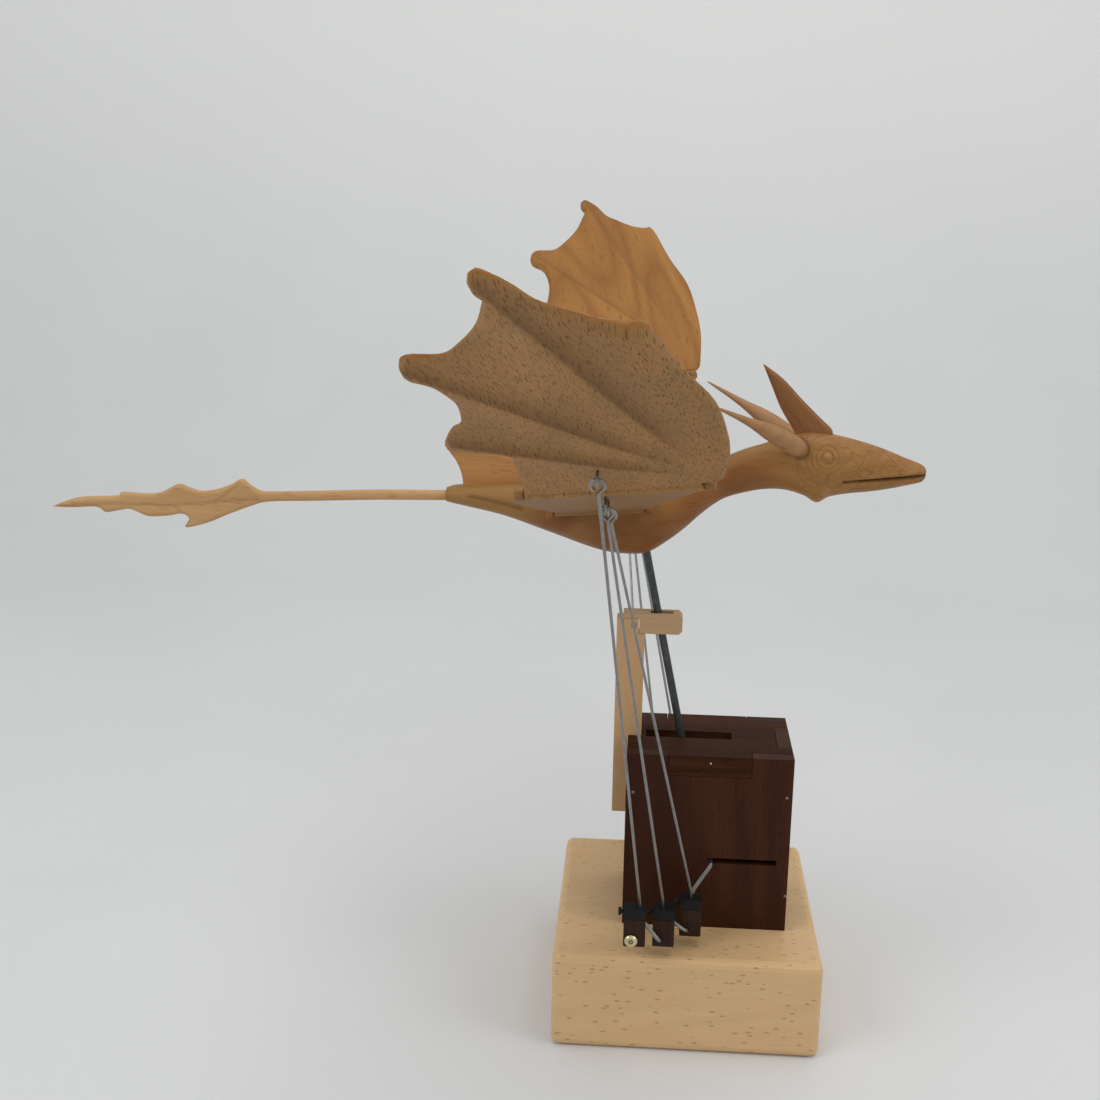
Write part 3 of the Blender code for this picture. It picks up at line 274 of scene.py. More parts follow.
def place_flecks(tree, source, vector, *values):
    return place_group(tree, source, vector, dict(zip(FLECK_LABELS, values))).outputs["Mask"]


def fibre_vector(tree, way=(1, 0, 0), normal=None):
    """Object coordinates with the wood's fibre along the first axis and a sheet's normal along the third."""
    place = tree.nodes.new("ShaderNodeTexCoord")
    mapping = tree.nodes.new("ShaderNodeMapping")
    mapping.vector_type = "TEXTURE"
    turn = Vector((1, 0, 0)).rotation_difference(Vector(way)).to_euler()
    if normal is not None:
        fibre = Vector(way).normalized()
        turn = Matrix((fibre, normal.cross(fibre), normal)).transposed().to_euler()
    mapping.inputs["Rotation"].default_value = turn
    tree.links.new(place.outputs["Object"], mapping.inputs["Vector"])
    return mapping.outputs["Vector"]


def painted_cut_shade(tree):
    """How deep a knife cut lies here, written on the carved pieces' points; the woods paint shade into their
    cuts, creases and hollows by it.
    """
    mark = tree.nodes.new("ShaderNodeAttribute")
    mark.attribute_name = "carved"
    return mark.outputs["Fac"]


def bump_into(tree, shader, height, depth, strength=0.6):
    bump = tree.nodes.new("ShaderNodeBump")
    bump.inputs["Strength"].default_value = strength
    bump.inputs["Distance"].default_value = depth
    wire_up(tree, ((height, bump.inputs["Height"]), (bump.outputs["Normal"], shader.inputs["Normal"])))


WOOD_RELIEF = 0.00012
METAL_RELIEF = 0.00004
WEAR_VALUES = {"Scale": 300.0, "Amount": 0.5}
ALONG_X = (1, 0, 0)
ALONG_Y = (0, 1, 0)
UPWARD = (0, 0, 1)


def wood(name, light, dark, pore, rings, ring_strength, pores, pore_scale, shade=0.3, rough=0.5, sheen=0.25,
         way=ALONG_X, flecks=None, cut_shade=0.0):
    """One plain sawn or carved wood; flecks are (colour, size, length, width, share)."""
    made, tree, shader = new_material(name)
    vector = fibre_vector(tree, way)
    grain = place_grain(tree, vector, light, dark, pore, rings, ring_strength, pores, pore_scale, shade)
    colour = grain.outputs["Color"]
    if flecks:
        tint, *values = flecks
        colour = blend_colour(tree, place_flecks(tree, FLECKS, vector, *values), colour, tint)
    # knife cuts darkened towards a deep brown: painted shade, as much as cut_shade asks
    if cut_shade:
        deep = maths(tree, "MULTIPLY", painted_cut_shade(tree), cut_shade, True)
        colour = blend_colour(tree, deep, colour, tuple(value * 0.22 for value in dark))
    roughness = maths(tree, "ADD", grain.outputs["Roughness"], rough)
    wire_up(tree, ((colour, shader.inputs["Base Color"]), (roughness, shader.inputs["Roughness"])))
    bump_into(tree, shader, grain.outputs["Height"], WOOD_RELIEF)
    shader.inputs["Specular IOR Level"].default_value = sheen
    return made


def metal(name, colour, worn, rough, metallic=1.0):
    made, tree, shader = new_material(name)
    vector = fibre_vector(tree)
    wear = place_group(tree, WEAR, vector, WEAR_VALUES)
    tint = blend_colour(tree, wear.outputs["Mask"], colour, worn)
    roughness = maths(tree, "ADD", wear.outputs["Roughness"], rough)
    wire_up(tree, ((tint, shader.inputs["Base Color"]), (roughness, shader.inputs["Roughness"])))
    bump_into(tree, shader, wear.outputs["Height"], METAL_RELIEF, 0.25)
    shader.inputs["Metallic"].default_value = metallic
    return made


# Woods
WALNUT_LIGHT = (0.064, 0.0180, 0.0055)
WALNUT_DARK = (0.028, 0.0080, 0.0028)
WALNUT_PORE = (0.008, 0.003, 0.0015)
FLECK_BROWN = (0.38, 0.225, 0.110)
SAWN_FLECKS = (FLECK_BROWN, 420, 0.22, 0.14, 0.5)

# Each wood: light, dark and pore colours, then rings, ring strength, pores and how many pores to a metre
beech = wood("beech_block", (0.71, 0.475, 0.245), (0.61, 0.385, 0.185), (0.46, 0.26, 0.12),
             14, 0.35, 0.10, 520, shade=0.25, rough=0.38, sheen=0.28,
             flecks=(FLECK_BROWN, 330, 0.32, 0.21, 0.8))
pale_beech = wood("pale_beech", (0.58, 0.36, 0.18), (0.48, 0.275, 0.125), (0.34, 0.18, 0.08),
                  14, 0.3, 0.2, 520, way=UPWARD, flecks=SAWN_FLECKS)
arm_beech = wood("arm_beech", (0.50, 0.335, 0.18), (0.41, 0.26, 0.13), (0.30, 0.165, 0.08),
                 14, 0.3, 0.2, 520, flecks=SAWN_FLECKS)
walnut = wood("walnut", WALNUT_LIGHT, WALNUT_DARK, WALNUT_PORE,
              9, 0.55, 0.3, 700, shade=0.75, sheen=0.14, way=UPWARD)
lid_walnut = wood("lid_walnut", (0.074, 0.026, 0.011), (0.026, 0.0085, 0.0035), WALNUT_PORE,
                  16, 0.7, 0.4, 700, shade=0.7, sheen=0.05)
block_walnut = wood("block_walnut", (0.050, 0.019, 0.010), (0.022, 0.008, 0.004), WALNUT_PORE,
                    30, 0.7, 0.5, 900, shade=0.5, sheen=0.18, way=UPWARD)
fin_wood = wood("fin_wood", (0.50, 0.235, 0.078), (0.36, 0.150, 0.042), (0.18, 0.06, 0.018),
                22, 0.5, 0.35, 600, shade=0.4, sheen=0.3)
horn_wood = wood("horn_wood", (0.42, 0.225, 0.095), (0.30, 0.135, 0.048), (0.18, 0.075, 0.026),
                 24, 0.45, 0.3, 600, rough=0.42, sheen=0.35, way=(-0.0576, 0.037, 0.032))
tail_wood = wood("tail_wood", (0.56, 0.330, 0.145), (0.44, 0.235, 0.092), (0.30, 0.145, 0.055),
                 22, 0.45, 0.35, 600, rough=0.46, sheen=0.3, cut_shade=0.25)
crest_wood = wood("crest_wood", (0.285, 0.125, 0.036), (0.17, 0.062, 0.015), (0.11, 0.040, 0.013),
                  30, 0.5, 0.3, 600, rough=0.42, sheen=0.35, way=(-0.6, 0, 0.8))
root_wood = wood("root_wood", (0.30, 0.155, 0.054), (0.215, 0.098, 0.030), (0.12, 0.055, 0.02),
                 16, 0.4, 0.4, 560, rough=0.52, sheen=0.22,
                 flecks=((0.12, 0.055, 0.024), 520, 0.2, 0.16, 0.6))
dowel_wood = wood("dowel_end", (0.40, 0.25, 0.12), (0.24, 0.135, 0.06), (0.12, 0.06, 0.03),
                  60, 0.8, 0.8, 1600, rough=0.6, sheen=0.1, way=ALONG_Y)

# Metals, and the painted shade inside a small hole
steel = metal("drawn_steel", (0.30, 0.295, 0.285), (0.20, 0.195, 0.19), 0.22)
post_steel = metal("post_steel", (0.060, 0.066, 0.066), (0.11, 0.115, 0.115), 0.28, 0.75)
black = metal("black_steel", (0.006, 0.006, 0.007), (0.016, 0.014, 0.013), 0.40, 0.0)
black.node_tree.nodes["Principled BSDF"].inputs["Specular IOR Level"].default_value = 0.22
brass = metal("brass", (0.72, 0.62, 0.36), (0.52, 0.42, 0.20), 0.2)
nail = metal("nail_steel", (0.26, 0.21, 0.18), (0.13, 0.10, 0.085), 0.36, 0.7)
hollow = metal("hole_shadow", (0.006, 0.004, 0.003), (0.010, 0.006, 0.004), 0.7, 0.0)


# Where along the dragon its wood turns pale, golden or scaled, and how far apart the scale cuts are
NECK = (0.060, 0.105)
RUMP = (-0.045, -0.085)
SNOUT = (0.122, 0.132)
SCALE_PITCH = 0.0078


def body_wood():
    """Oiled wood of the body, paler on the head, with shallow crossing scale cuts on the snout, all cuts
    darkened with painted shade.
    """
    made, tree, shader = new_material("oiled_body")
    vector = fibre_vector(tree)
    trunk = place_grain(tree, vector, (0.275, 0.102, 0.0220), (0.165, 0.054, 0.0105), (0.085, 0.028, 0.006),
                        16.0, 0.6, 0.35, 600.0, 0.6)
    head = place_grain(tree, vector, (0.370, 0.182, 0.0500), (0.250, 0.104, 0.0250), (0.13, 0.045, 0.013),
                       30.0, 0.45, 0.35, 700.0, 0.35)
    place = tree.nodes.new("ShaderNodeTexCoord")
    split = tree.nodes.new("ShaderNodeSeparateXYZ")
    tree.links.new(place.outputs["Object"], split.inputs[0])
    forward = ramp(tree, split.outputs["X"], DRAGON_X + NECK[0], DRAGON_X + NECK[1])
    rear = ramp(tree, split.outputs["X"], DRAGON_X + RUMP[0], DRAGON_X + RUMP[1])
    patches = ramp(tree, noise(tree, vector, 22.0, 2.0), 0.40, 0.62)
    golden_rear = maths(tree, "MULTIPLY", rear, 0.85)
    golden = maths(tree, "MAXIMUM", golden_rear, maths(tree, "MULTIPLY", patches, 0.65))
    colour = blend_colour(tree, golden, trunk.outputs["Color"], (0.320, 0.168, 0.048))
    colour = blend_colour(tree, forward, colour, head.outputs["Color"])
    # painted shade in the knife cuts, creases, flank groove and mouth, near black where deepest
    deep = maths(tree, "MULTIPLY", maths(tree, "POWER", painted_cut_shade(tree), 1.5), 0.9, True)
    colour = blend_colour(tree, deep, colour, (0.024, 0.008, 0.003))
    snout = ramp(tree, split.outputs["X"], DRAGON_X + SNOUT[0], DRAGON_X + SNOUT[1])
    lines = []
    wander = maths(tree, "MULTIPLY", noise(tree, vector, 70.0, 2.0), 0.016)
    for lean in (-0.7, 1.2):
        along = maths(tree, "ADD", split.outputs["X"], maths(tree, "MULTIPLY", split.outputs["Z"], lean))
        along = maths(tree, "ADD", along, wander)
        rows = maths(tree, "MULTIPLY", along, math.pi / SCALE_PITCH)
        wave = maths(tree, "ABSOLUTE", maths(tree, "SINE", rows))
        lines.append(ramp(tree, wave, 0.0, 0.26, 1.0, 0.0))
    # painted shade along the crossing scale cuts on the snout, with a bump for their relief
    scales = maths(tree, "MULTIPLY", maths(tree, "MAXIMUM", lines[0], lines[1]), snout)
    colour = blend_colour(tree, maths(tree, "MULTIPLY", scales, 0.36), colour, (0.13, 0.050, 0.014))
    facets = noise(tree, stretched(tree, vector, (0.5, 1.0, 1.0)), 120.0, 2.0)
    height = maths(tree, "ADD", trunk.outputs["Height"], maths(tree, "MULTIPLY", facets, 4.0))
    height = maths(tree, "SUBTRACT", height, maths(tree, "MULTIPLY", scales, 1.5))
    roughness = maths(tree, "ADD", trunk.outputs["Roughness"], 0.36)
    wire_up(tree, ((colour, shader.inputs["Base Color"]), (roughness, shader.inputs["Roughness"])))
    bump_into(tree, shader, height, 0.00016)
    shader.inputs["Specular IOR Level"].default_value = 0.28
    return made


def outer_normal(side):
    return Vector((0, -side * math.sin(OUTER_ANGLE), math.cos(OUTER_ANGLE)))


def wing_wood(name, side):
    """Flecked bare wood under the wing, with duller patches, an oiled golden face above, and painted shade in
    the hollows.
    """
    made, tree, shader = new_material(name)
    fibre = Vector((-0.19, side * 0.98 * math.cos(OUTER_ANGLE), 0.98 * math.sin(OUTER_ANGLE)))
    vector = fibre_vector(tree, fibre, outer_normal(side))
    below = place_grain(tree, vector, (0.425, 0.222, 0.078), (0.325, 0.158, 0.050), (0.17, 0.08, 0.030),
                        9.0, 0.4, 0.15, 700.0, 0.4)
    above = place_grain(tree, vector, (0.400, 0.180, 0.036), (0.250, 0.092, 0.014), (0.15, 0.05, 0.010),
                        18.0, 0.8, 0.4, 420.0, 0.55)
    rays = place_flecks(tree, SHEET_FLECKS, vector, 660.0, 0.12, 0.17, 0.95)
    fine = place_flecks(tree, SHEET_FLECKS, vector, 900.0, 0.12, 0.19, 0.9)
    patch = ramp(tree, noise(tree, stretched(tree, vector, (0.5, 1.0, 1.0)), 42.0, 3.0), 0.42, 0.62, 0.0, 0.5)
    bare = blend_colour(tree, patch, below.outputs["Color"], (0.280, 0.166, 0.062))
    flecked = maths(tree, "MAXIMUM", rays, maths(tree, "MULTIPLY", fine, 0.8))
    bare = blend_colour(tree, maths(tree, "MULTIPLY", flecked, 0.9), bare, (0.095, 0.034, 0.010))
    faint = maths(tree, "MULTIPLY", flecked, 0.22)
    gold = blend_colour(tree, faint, above.outputs["Color"], (0.20, 0.075, 0.014))
    geometry = tree.nodes.new("ShaderNodeNewGeometry")
    split = tree.nodes.new("ShaderNodeSeparateXYZ")
    tree.links.new(geometry.outputs["Normal"], split.inputs[0])
    upper = ramp(tree, split.outputs["Z"], 0.05, 0.35)
    colour = blend_colour(tree, upper, bare, gold)
    # painted shade in the hollows above the fingers: dark brown below, deep gold above
    shadow = blend_colour(tree, upper, (0.095, 0.042, 0.017), (0.20, 0.080, 0.014))
    deep = maths(tree, "MULTIPLY", painted_cut_shade(tree), 0.72, True)
    colour = blend_colour(tree, deep, colour, shadow)
    roughness = maths(tree, "ADD", below.outputs["Roughness"], ramp(tree, upper, 0.0, 1.0, 0.56, 0.42))
    height = maths(tree, "SUBTRACT", below.outputs["Height"], flecked)
    wire_up(tree, ((colour, shader.inputs["Base Color"]), (roughness, shader.inputs["Roughness"])))
    bump_into(tree, shader, height, 0.00015)
    shader.inputs["Specular IOR Level"].default_value = 0.22
    return made


oiled = body_wood()
near_wing = wing_wood("near_wing_beech", -1)
far_wing = wing_wood("far_wing_beech", 1)


def dress(finishes):
    for piece, finish in finishes.items():
        target = nodes[piece]
        if not target.material_slots:
            target.data.materials.append(finish)
        for place in target.material_slots:
            place.material = finish


finishes = {
    "base_block": beech, "upright": pale_beech, "guide_arm": arm_beech, "box_top": lid_walnut,
    "dragon_body": oiled, "back_fin": fin_wood, "tail": tail_wood, "crest": crest_wood,
    "post": post_steel, "yoke": post_steel, "crank_disc": brass, "far_bush": brass, "crankshaft": steel,
    "crank_pin": steel, "knob_pin": steel, "handle_arm": walnut, "knob": walnut,
}
for wall in ("near_wall", "far_wall", "rear_wall", "front_wall"):
    finishes[wall] = walnut
for word, panel in (("near", near_wing), ("far", far_wing)):
    finishes[word + "_outer_wing"] = panel
    finishes[word + "_inner_wing"] = root_wood
    finishes[word + "_horn"] = horn_wood
    finishes[word + "_wire_cap"] = brass
    for piece in ("_arm_wire", "_root_pin", "_hinge_pin"):
        finishes[word + piece] = steel
    for number in ("_1", "_2", "_3"):
        finishes[word + "_block" + number] = block_walnut
        finishes[word + "_clamp" + number] = black
        finishes[word + "_rod" + number] = steel
        finishes[word + "_eye" + number] = steel
dress(finishes)


# Shape helpers
def dragon_point(side, x, out, z):
    """A place in the dragon's frame, out from its middle plane on the near (-1) or far (+1) side."""
    return Vector((DRAGON_X + x, MID_Y + side * out, DRAGON_Z + z))


def inner_z(x, out):
    return INNER_START + INNER_PITCH * x + INNER_SLOPE * out


def outer_z(out):
    return OUTER_START + OUTER_SLOPE * out


def hinge_out(x):
    """How far out the two planes of a wing meet."""
    return (INNER_START - OUTER_START + INNER_PITCH * x) / (OUTER_SLOPE - INNER_SLOPE)


SPAN_START = hinge_out(0.0)


def hinge_v(x):
    """Distance up the outer plane of the hinge line."""
    return (hinge_out(x) - SPAN_START) / math.cos(OUTER_ANGLE)


def root_point(side, x):
    out = ROOT_OUT + ROOT_SPLAY * x
    return dragon_point(side, x, out, inner_z(x, out))


def hinge_point(side, x):
    out = hinge_out(x)
    return dragon_point(side, x, out, outer_z(out))


def through(points, steps):
    """A smooth curve through the given points."""
    out = []
    ends = [points[0]] + list(points) + [points[-1]]
    for a, b, c, d in zip(ends, ends[1:], ends[2:], ends[3:]):
        for i in range(steps):
            t = i / steps
            out.append(tuple(0.5 * (2 * q + (r - p) * t + (2 * p - 5 * q + 4 * r - s) * t ** 2
                                    + (3 * q - p - 3 * r + s) * t ** 3) for p, q, r, s in zip(a, b, c, d)))
    out.append(tuple(points[-1]))
    return out


def path_distance(x, y, path):
    """Distance from a point to a drawn line."""
    near = 1.0
    for (ax, ay), (bx, by) in zip(path, path[1:]):
        length = (bx - ax) ** 2 + (by - ay) ** 2
        t = max(0.0, min(1.0, ((x - ax) * (bx - ax) + (y - ay) * (by - ay)) / length))
        near = min(near, math.hypot(x - ax - t * (bx - ax), y - ay - t * (by - ay)))
    return near


def bell(distance, width):
    return math.exp(-(distance / width) ** 2)


def link(name, bm, look, body, sharp=50):
    """A piece from a finished mesh; edges over sharp degrees stay crisp."""
    mesh = bpy.data.meshes.new(name)
    bmesh.ops.recalc_face_normals(bm, faces=bm.faces)
    bm.to_mesh(mesh)
    bm.free()
    mesh.materials.append(look)
    mesh.shade_smooth()
    mesh.set_sharp_from_angle(angle=math.radians(sharp))
    piece = bpy.data.objects.new(name, mesh)
    bpy.context.scene.collection.objects.link(piece)
    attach(piece, body)
    return piece


def turned(bm, start, way, profile, sides=24, spine=None):
    """A turned form: profile gives (distance along, radius), and spine may bend its middle line."""
    way = Vector(way).normalized()
    side = way.orthogonal().normalized()
    up = way.cross(side)
    rings = []
    for distance, radius in profile:
        middle = Vector(start) + way * distance
        if spine:
            middle += spine(distance)
        ring = []
        for i in range(sides):
            turn = 2 * math.pi * i / sides
            ring.append(bm.verts.new(middle + (side * math.cos(turn) + up * math.sin(turn)) * radius))
        rings.append(ring)
    for a, b in zip(rings, rings[1:]):
        for i in range(sides):
            j = (i + 1) % sides
            bm.faces.new((a[i], a[j], b[j], b[i]))
    return rings


def turned_solid(bm, start, way, profile, sides=24, spine=None):
    rings = turned(bm, start, way, profile, sides, spine)
    bm.faces.new(rings[0][::-1])
    bm.faces.new(rings[-1])


def barrel(bm, start, stop):
    """A bored hinge barrel with broken edges."""
    way = stop - start
    length = way.length
    profile = ((0, PIN_BORE), (0, BARREL - CHAMFER), (CHAMFER, BARREL), (length - CHAMFER, BARREL),
               (length, BARREL - CHAMFER), (length, PIN_BORE), (0, PIN_BORE))
    turned(bm, start, way, profile)


def block(bm, low, high, rounding):
    made = bmesh.ops.create_cube(bm, size=1.0)
    corners = made["verts"]
    low = Vector(low)
    high = Vector(high)
    bmesh.ops.scale(bm, vec=high - low, verts=corners)
    bmesh.ops.translate(bm, vec=(low + high) / 2, verts=corners)
    edges = list({edge for corner in corners for edge in corner.link_edges})
    bmesh.ops.bevel(bm, geom=edges, offset=rounding, segments=3, profile=0.5, affect="EDGES")


def sheet_plan(free_edge, held_edge, spacing):
    """Points and triangles over an outline, each point with its distance to the free edge."""
    outline = list(free_edge) + list(held_edge)
    ring = []
    for (ax, ay), (bx, by) in zip(outline, outline[1:] + outline[:1]):
        count = max(1, round(math.hypot(bx - ax, by - ay) / spacing))
        ring += [(ax + (bx - ax) * i / count, ay + (by - ay) * i / count) for i in range(count)]
    closed = outline + outline[:1]
    low_x = min(p[0] for p in outline)
    low_y = min(p[1] for p in outline)
    wide = max(p[0] for p in outline) - low_x
    tall = max(p[1] for p in outline) - low_y
    inner = []
    for row in range(int(tall / (spacing * 0.866)) + 1):
        y = low_y + row * spacing * 0.866
        crossings = sorted(ax + (bx - ax) * (y - ay) / (by - ay)
                           for (ax, ay), (bx, by) in zip(closed, closed[1:]) if (ay > y) != (by > y))
        for column in range(int(wide / spacing) + 2):
            x = low_x + (column + 0.5 * (row % 2)) * spacing
            inside = sum(1 for crossing in crossings if crossing < x) % 2
            if inside and path_distance(x, y, closed) > spacing * 0.5:
                inner.append((x, y))
    flat = [Vector(p) for p in ring + inner]
    spots, _, faces, _, _, _ = delaunay_2d_cdt(flat, [], [list(range(len(ring)))], 1, 1e-7)
    plan = [(p.x, p.y, path_distance(p.x, p.y, free_edge)) for p in spots]
    return plan, faces


def carved_sheet(bm, plan, faces, place, below, above, rounding, cut):
    """Carve both faces of a sheet; its free edge is rounded over."""
    layer = bm.verts.layers.float.get("carved") or bm.verts.layers.float.new("carved")
    top = []
    low = []
    for x, y, near in plan:
        q = min(1.0, near / rounding)
        edge = max(0.34, math.sqrt(max(0.0, 1 - (1 - q) ** 2)))
        for row, lift in ((top, above(x, y) * edge), (low, -below(x, y) * edge)):
            spot = bm.verts.new(place(x, y, lift))
            # each point keeps its cut value, which the woods turn into painted shade
            spot[layer] = cut(x, y)
            row.append(spot)
    used = {}
    for a, b, c in faces:
        bm.faces.new((top[a], top[b], top[c]))
        bm.faces.new((low[c], low[b], low[a]))
        for edge in ((a, b), (b, c), (c, a)):
            used.setdefault(frozenset(edge), []).append(edge)
    for edge in used.values():
        if len(edge) == 1:
            a, b = edge[0]
            bm.faces.new((top[b], top[a], low[a], low[b]))
    for spot in [v for v in bm.verts if not v.link_faces]:
        bm.verts.remove(spot)


# Outer wings: smooth scalloped edge, carved fingers and the hollows above them
OUTER_EDGE = (
    (-0.0590, 0.0450), (-0.0630, 0.0600), (-0.0870, 0.0625), (-0.0875, 0.0725), (-0.0830, 0.0885),
    (-0.0780, 0.0975), (-0.0770, 0.1205), (-0.0800, 0.1385), (-0.0855, 0.1515), (-0.0935, 0.1575),
    (-0.0955, 0.1660), (-0.0920, 0.1770), (-0.0770, 0.1795), (-0.0675, 0.1940), (-0.0600, 0.2115),
    (-0.0560, 0.2300), (-0.0545, 0.2400), (-0.0580, 0.2470), (-0.0585, 0.2550), (-0.0545, 0.2590),
    (-0.0450, 0.2505), (-0.0360, 0.2355), (-0.0280, 0.2290), (-0.0170, 0.2210), (-0.0040, 0.2140),
    (0.0045, 0.2130), (0.0190, 0.1695), (0.0335, 0.1325), (0.0410, 0.0925), (0.0440, 0.0625),
    (0.0436, 0.0320), (0.0428, 0.0225), (0.0405, 0.0176),
)
FINGERS = ((-0.0570, 0.2540), (-0.0940, 0.1660), (-0.0860, 0.0720), (0.0000, 0.2130))
KNUCKLE = (0.0370, 0.0275)
FINGER_BELOW = 0.0026
FINGER_ABOVE = 0.0015
FINGER_LONG_SIDE = 0.0150
FINGER_STEEP_SIDE = 0.0062
FINGER_TIP = 0.006
HOLLOW_BELOW = 0.0004
HOLLOW_ABOVE = 0.0003
HOLLOW_REACH = 0.0070
OUTER_ROUNDING = 0.0026
OUTER_MESH = 0.0016


def finger_form(x, v):
    """Rise of the nearest finger, and how deep in its hollow the outer side lies, which also sets the painted
    shade there.
    """
    rise = 0.0
    cut = 0.0
    kx, kv = KNUCKLE
    for index, (fx, fv) in enumerate(FINGERS):
        dx = fx - kx
        dv = fv - kv
        length = math.hypot(dx, dv)
        along = ((x - kx) * dx + (v - kv) * dv) / length ** 2
        beside = ((x - kx) * dv - (v - kv) * dx) / length
        past = max(0.0, along - 1) * length
        fade = min(1.0, max(0.0, (along - 0.02) / 0.35))
        falls = bell(beside, FINGER_LONG_SIDE if beside < 0 else FINGER_STEEP_SIDE)
        rise = max(rise, falls * bell(past, FINGER_TIP) * fade)
        if index < 3:
            start = min(1.0, max(0.0, (along - 0.10) / 0.25))
            step = min(1.0, max(0.0, (beside + 0.0006) / 0.0018))
            cut = max(cut, math.exp(-max(0.0, beside) / HOLLOW_REACH) * step * start * bell(past, 0.004))
    return rise, cut


def below_outer(x, v):
    rise, cut = finger_form(x, v)
    return PANEL_THICK / 2 + FINGER_BELOW * rise - HOLLOW_BELOW * cut


def above_outer(x, v):
    rise, cut = finger_form(x, v)
    return PANEL_THICK / 2 + FINGER_ABOVE * rise - HOLLOW_ABOVE * cut


def outer_place(side):
    normal = outer_normal(side)

    def place(x, v, lift):
        out = SPAN_START + v * math.cos(OUTER_ANGLE)
        return dragon_point(side, x, out, outer_z(out)) + normal * lift
    return place


def outer_wings():
    rear = HINGE_REAR + LUG + LUG_GAP
    front = HINGE_FRONT - LUG - LUG_GAP
    plate_front = front - PLATE_STEP
    start = (rear, hinge_v(rear) + BARREL + PLATE_LIFT)
    stop = (plate_front, hinge_v(plate_front) + BARREL + PLATE_LIFT)
    free = through((start,) + OUTER_EDGE, 4) + [stop]
    held = [(plate_front, hinge_v(plate_front)), (rear, hinge_v(rear))]
    plan, faces = sheet_plan(free, held, OUTER_MESH)
    for side, word, look in ((-1, "near", near_wing), (1, "far", far_wing)):
        bm = bmesh.new()
        # the hollow's depth is also written on the points as painted shade
        carved_sheet(bm, plan, faces, outer_place(side), below_outer, above_outer, OUTER_ROUNDING,
                     lambda x, v: finger_form(x, v)[1])
        barrel(bm, hinge_point(side, rear), hinge_point(side, front))
        piece = link(word + "_outer_panel", bm, look, word + "_outer")
        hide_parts(word + "_outer_wing")


# Inner wings: plain rounded panels with the hinge ears
INNER_REAR = ((-0.0530, 0.0380), (-0.0580, 0.0600), (-0.0640, 0.0850), (-0.0662, 0.1100), (-0.0655, 0.1380))
INNER_FRONT = ((0.0205, 0.0980), (0.0065, 0.0350))
INNER_ROUNDING = 0.0016
INNER_MESH = 0.0030
ROOT_STEP = 0.001
PAST_LUG = 0.0068


def inner_place(side):
    normal = Vector((-INNER_PITCH, -side * INNER_SLOPE, 1)).normalized()

    def place(x, out, lift):
        return dragon_point(side, x, out, inner_z(x, out)) + normal * lift
    return place


def half_panel(x, out):
    return PANEL_THICK / 2


def inner_wings():
    edge = BARREL + PLATE_STEP
    ear_rear = HINGE_REAR + LUG - PLATE_STEP
    ear_front = HINGE_FRONT - LUG + PLATE_STEP
    plate_rear = ROOT_REAR + ROOT_STEP
    plate_front = ROOT_FRONT - ROOT_STEP
    root_rear = ROOT_OUT + ROOT_SPLAY * ROOT_REAR
    root_front = ROOT_OUT + ROOT_SPLAY * ROOT_FRONT
    rear_end = (HINGE_REAR, hinge_out(HINGE_REAR) - edge - ROOT_STEP)
    front_end = (HINGE_FRONT, hinge_out(HINGE_FRONT) - edge - ROOT_STEP)
    rear_edge = through(((plate_rear, root_rear + PAST_LUG),) + INNER_REAR + (rear_end,), 4)
    front_edge = through((front_end,) + INNER_FRONT + ((plate_front, root_front + PAST_LUG),), 4)
    ears = [(HINGE_REAR, hinge_out(HINGE_REAR)), (ear_rear, hinge_out(ear_rear)),
            (ear_rear, hinge_out(ear_rear) - edge), (ear_front, hinge_out(ear_front) - edge),
            (ear_front, hinge_out(ear_front)), (HINGE_FRONT, hinge_out(HINGE_FRONT))]
    outline = rear_edge + ears + front_edge
    root = [(plate_front, root_front), (plate_rear, root_rear)]
    plan, faces = sheet_plan(outline, root, INNER_MESH)
    for side, word in ((-1, "near"), (1, "far")):
        bm = bmesh.new()
        carved_sheet(bm, plan, faces, inner_place(side), half_panel, half_panel, INNER_ROUNDING,
                     lambda x, out: 0.0)
        barrel(bm, root_point(side, ROOT_REAR), root_point(side, ROOT_FRONT))
        for start, stop in ((HINGE_REAR, HINGE_REAR + LUG), (HINGE_FRONT - LUG, HINGE_FRONT)):
            barrel(bm, hinge_point(side, start), hinge_point(side, stop))
        piece = link(word + "_inner_panel", bm, root_wood, word + "_inner")
        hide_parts(word + "_inner_wing")


# Body sections: place along, underside, back, half width
BODY = (
    (-0.1210, -0.0046, 0.0046, 0.0052), (-0.1160, -0.0056, 0.0062, 0.0070),
    (-0.1084, -0.0070, 0.0068, 0.0090), (-0.0834, -0.0125, 0.0090, 0.0120),
    (-0.0534, -0.0225, 0.0110, 0.0160), (-0.0234, -0.0325, 0.0130, 0.0187),
    (-0.0064, -0.0348, 0.0145, 0.0192), (0.0076, -0.0335, 0.0160, 0.0190),
    (0.0196, -0.0260, 0.0175, 0.0182), (0.0306, -0.0170, 0.0195, 0.0165),
    (0.0416, -0.0065, 0.0235, 0.0145), (0.0536, 0.0025, 0.0290, 0.0123),
    (0.0666, 0.0070, 0.0347, 0.0112), (0.0786, 0.0095, 0.0387, 0.0110),
    (0.0916, 0.0097, 0.0440, 0.0125), (0.1041, 0.0064, 0.0468, 0.0148),
    (0.1122, 0.0022, 0.0466, 0.0160), (0.1196, 0.0060, 0.0455, 0.0156),
    (0.1316, 0.0085, 0.0430, 0.0138), (0.1420, 0.0097, 0.0403, 0.0118),
    (0.1536, 0.0115, 0.0365, 0.0096), (0.1656, 0.0142, 0.0318, 0.0078),
    (0.1751, 0.0168, 0.0282, 0.0054), (0.1786, 0.0195, 0.0258, 0.0032),
)
EYE = (0.1161, 0.0333)
EYEBALL = 0.0031
EYE_BULGE = 0.0013
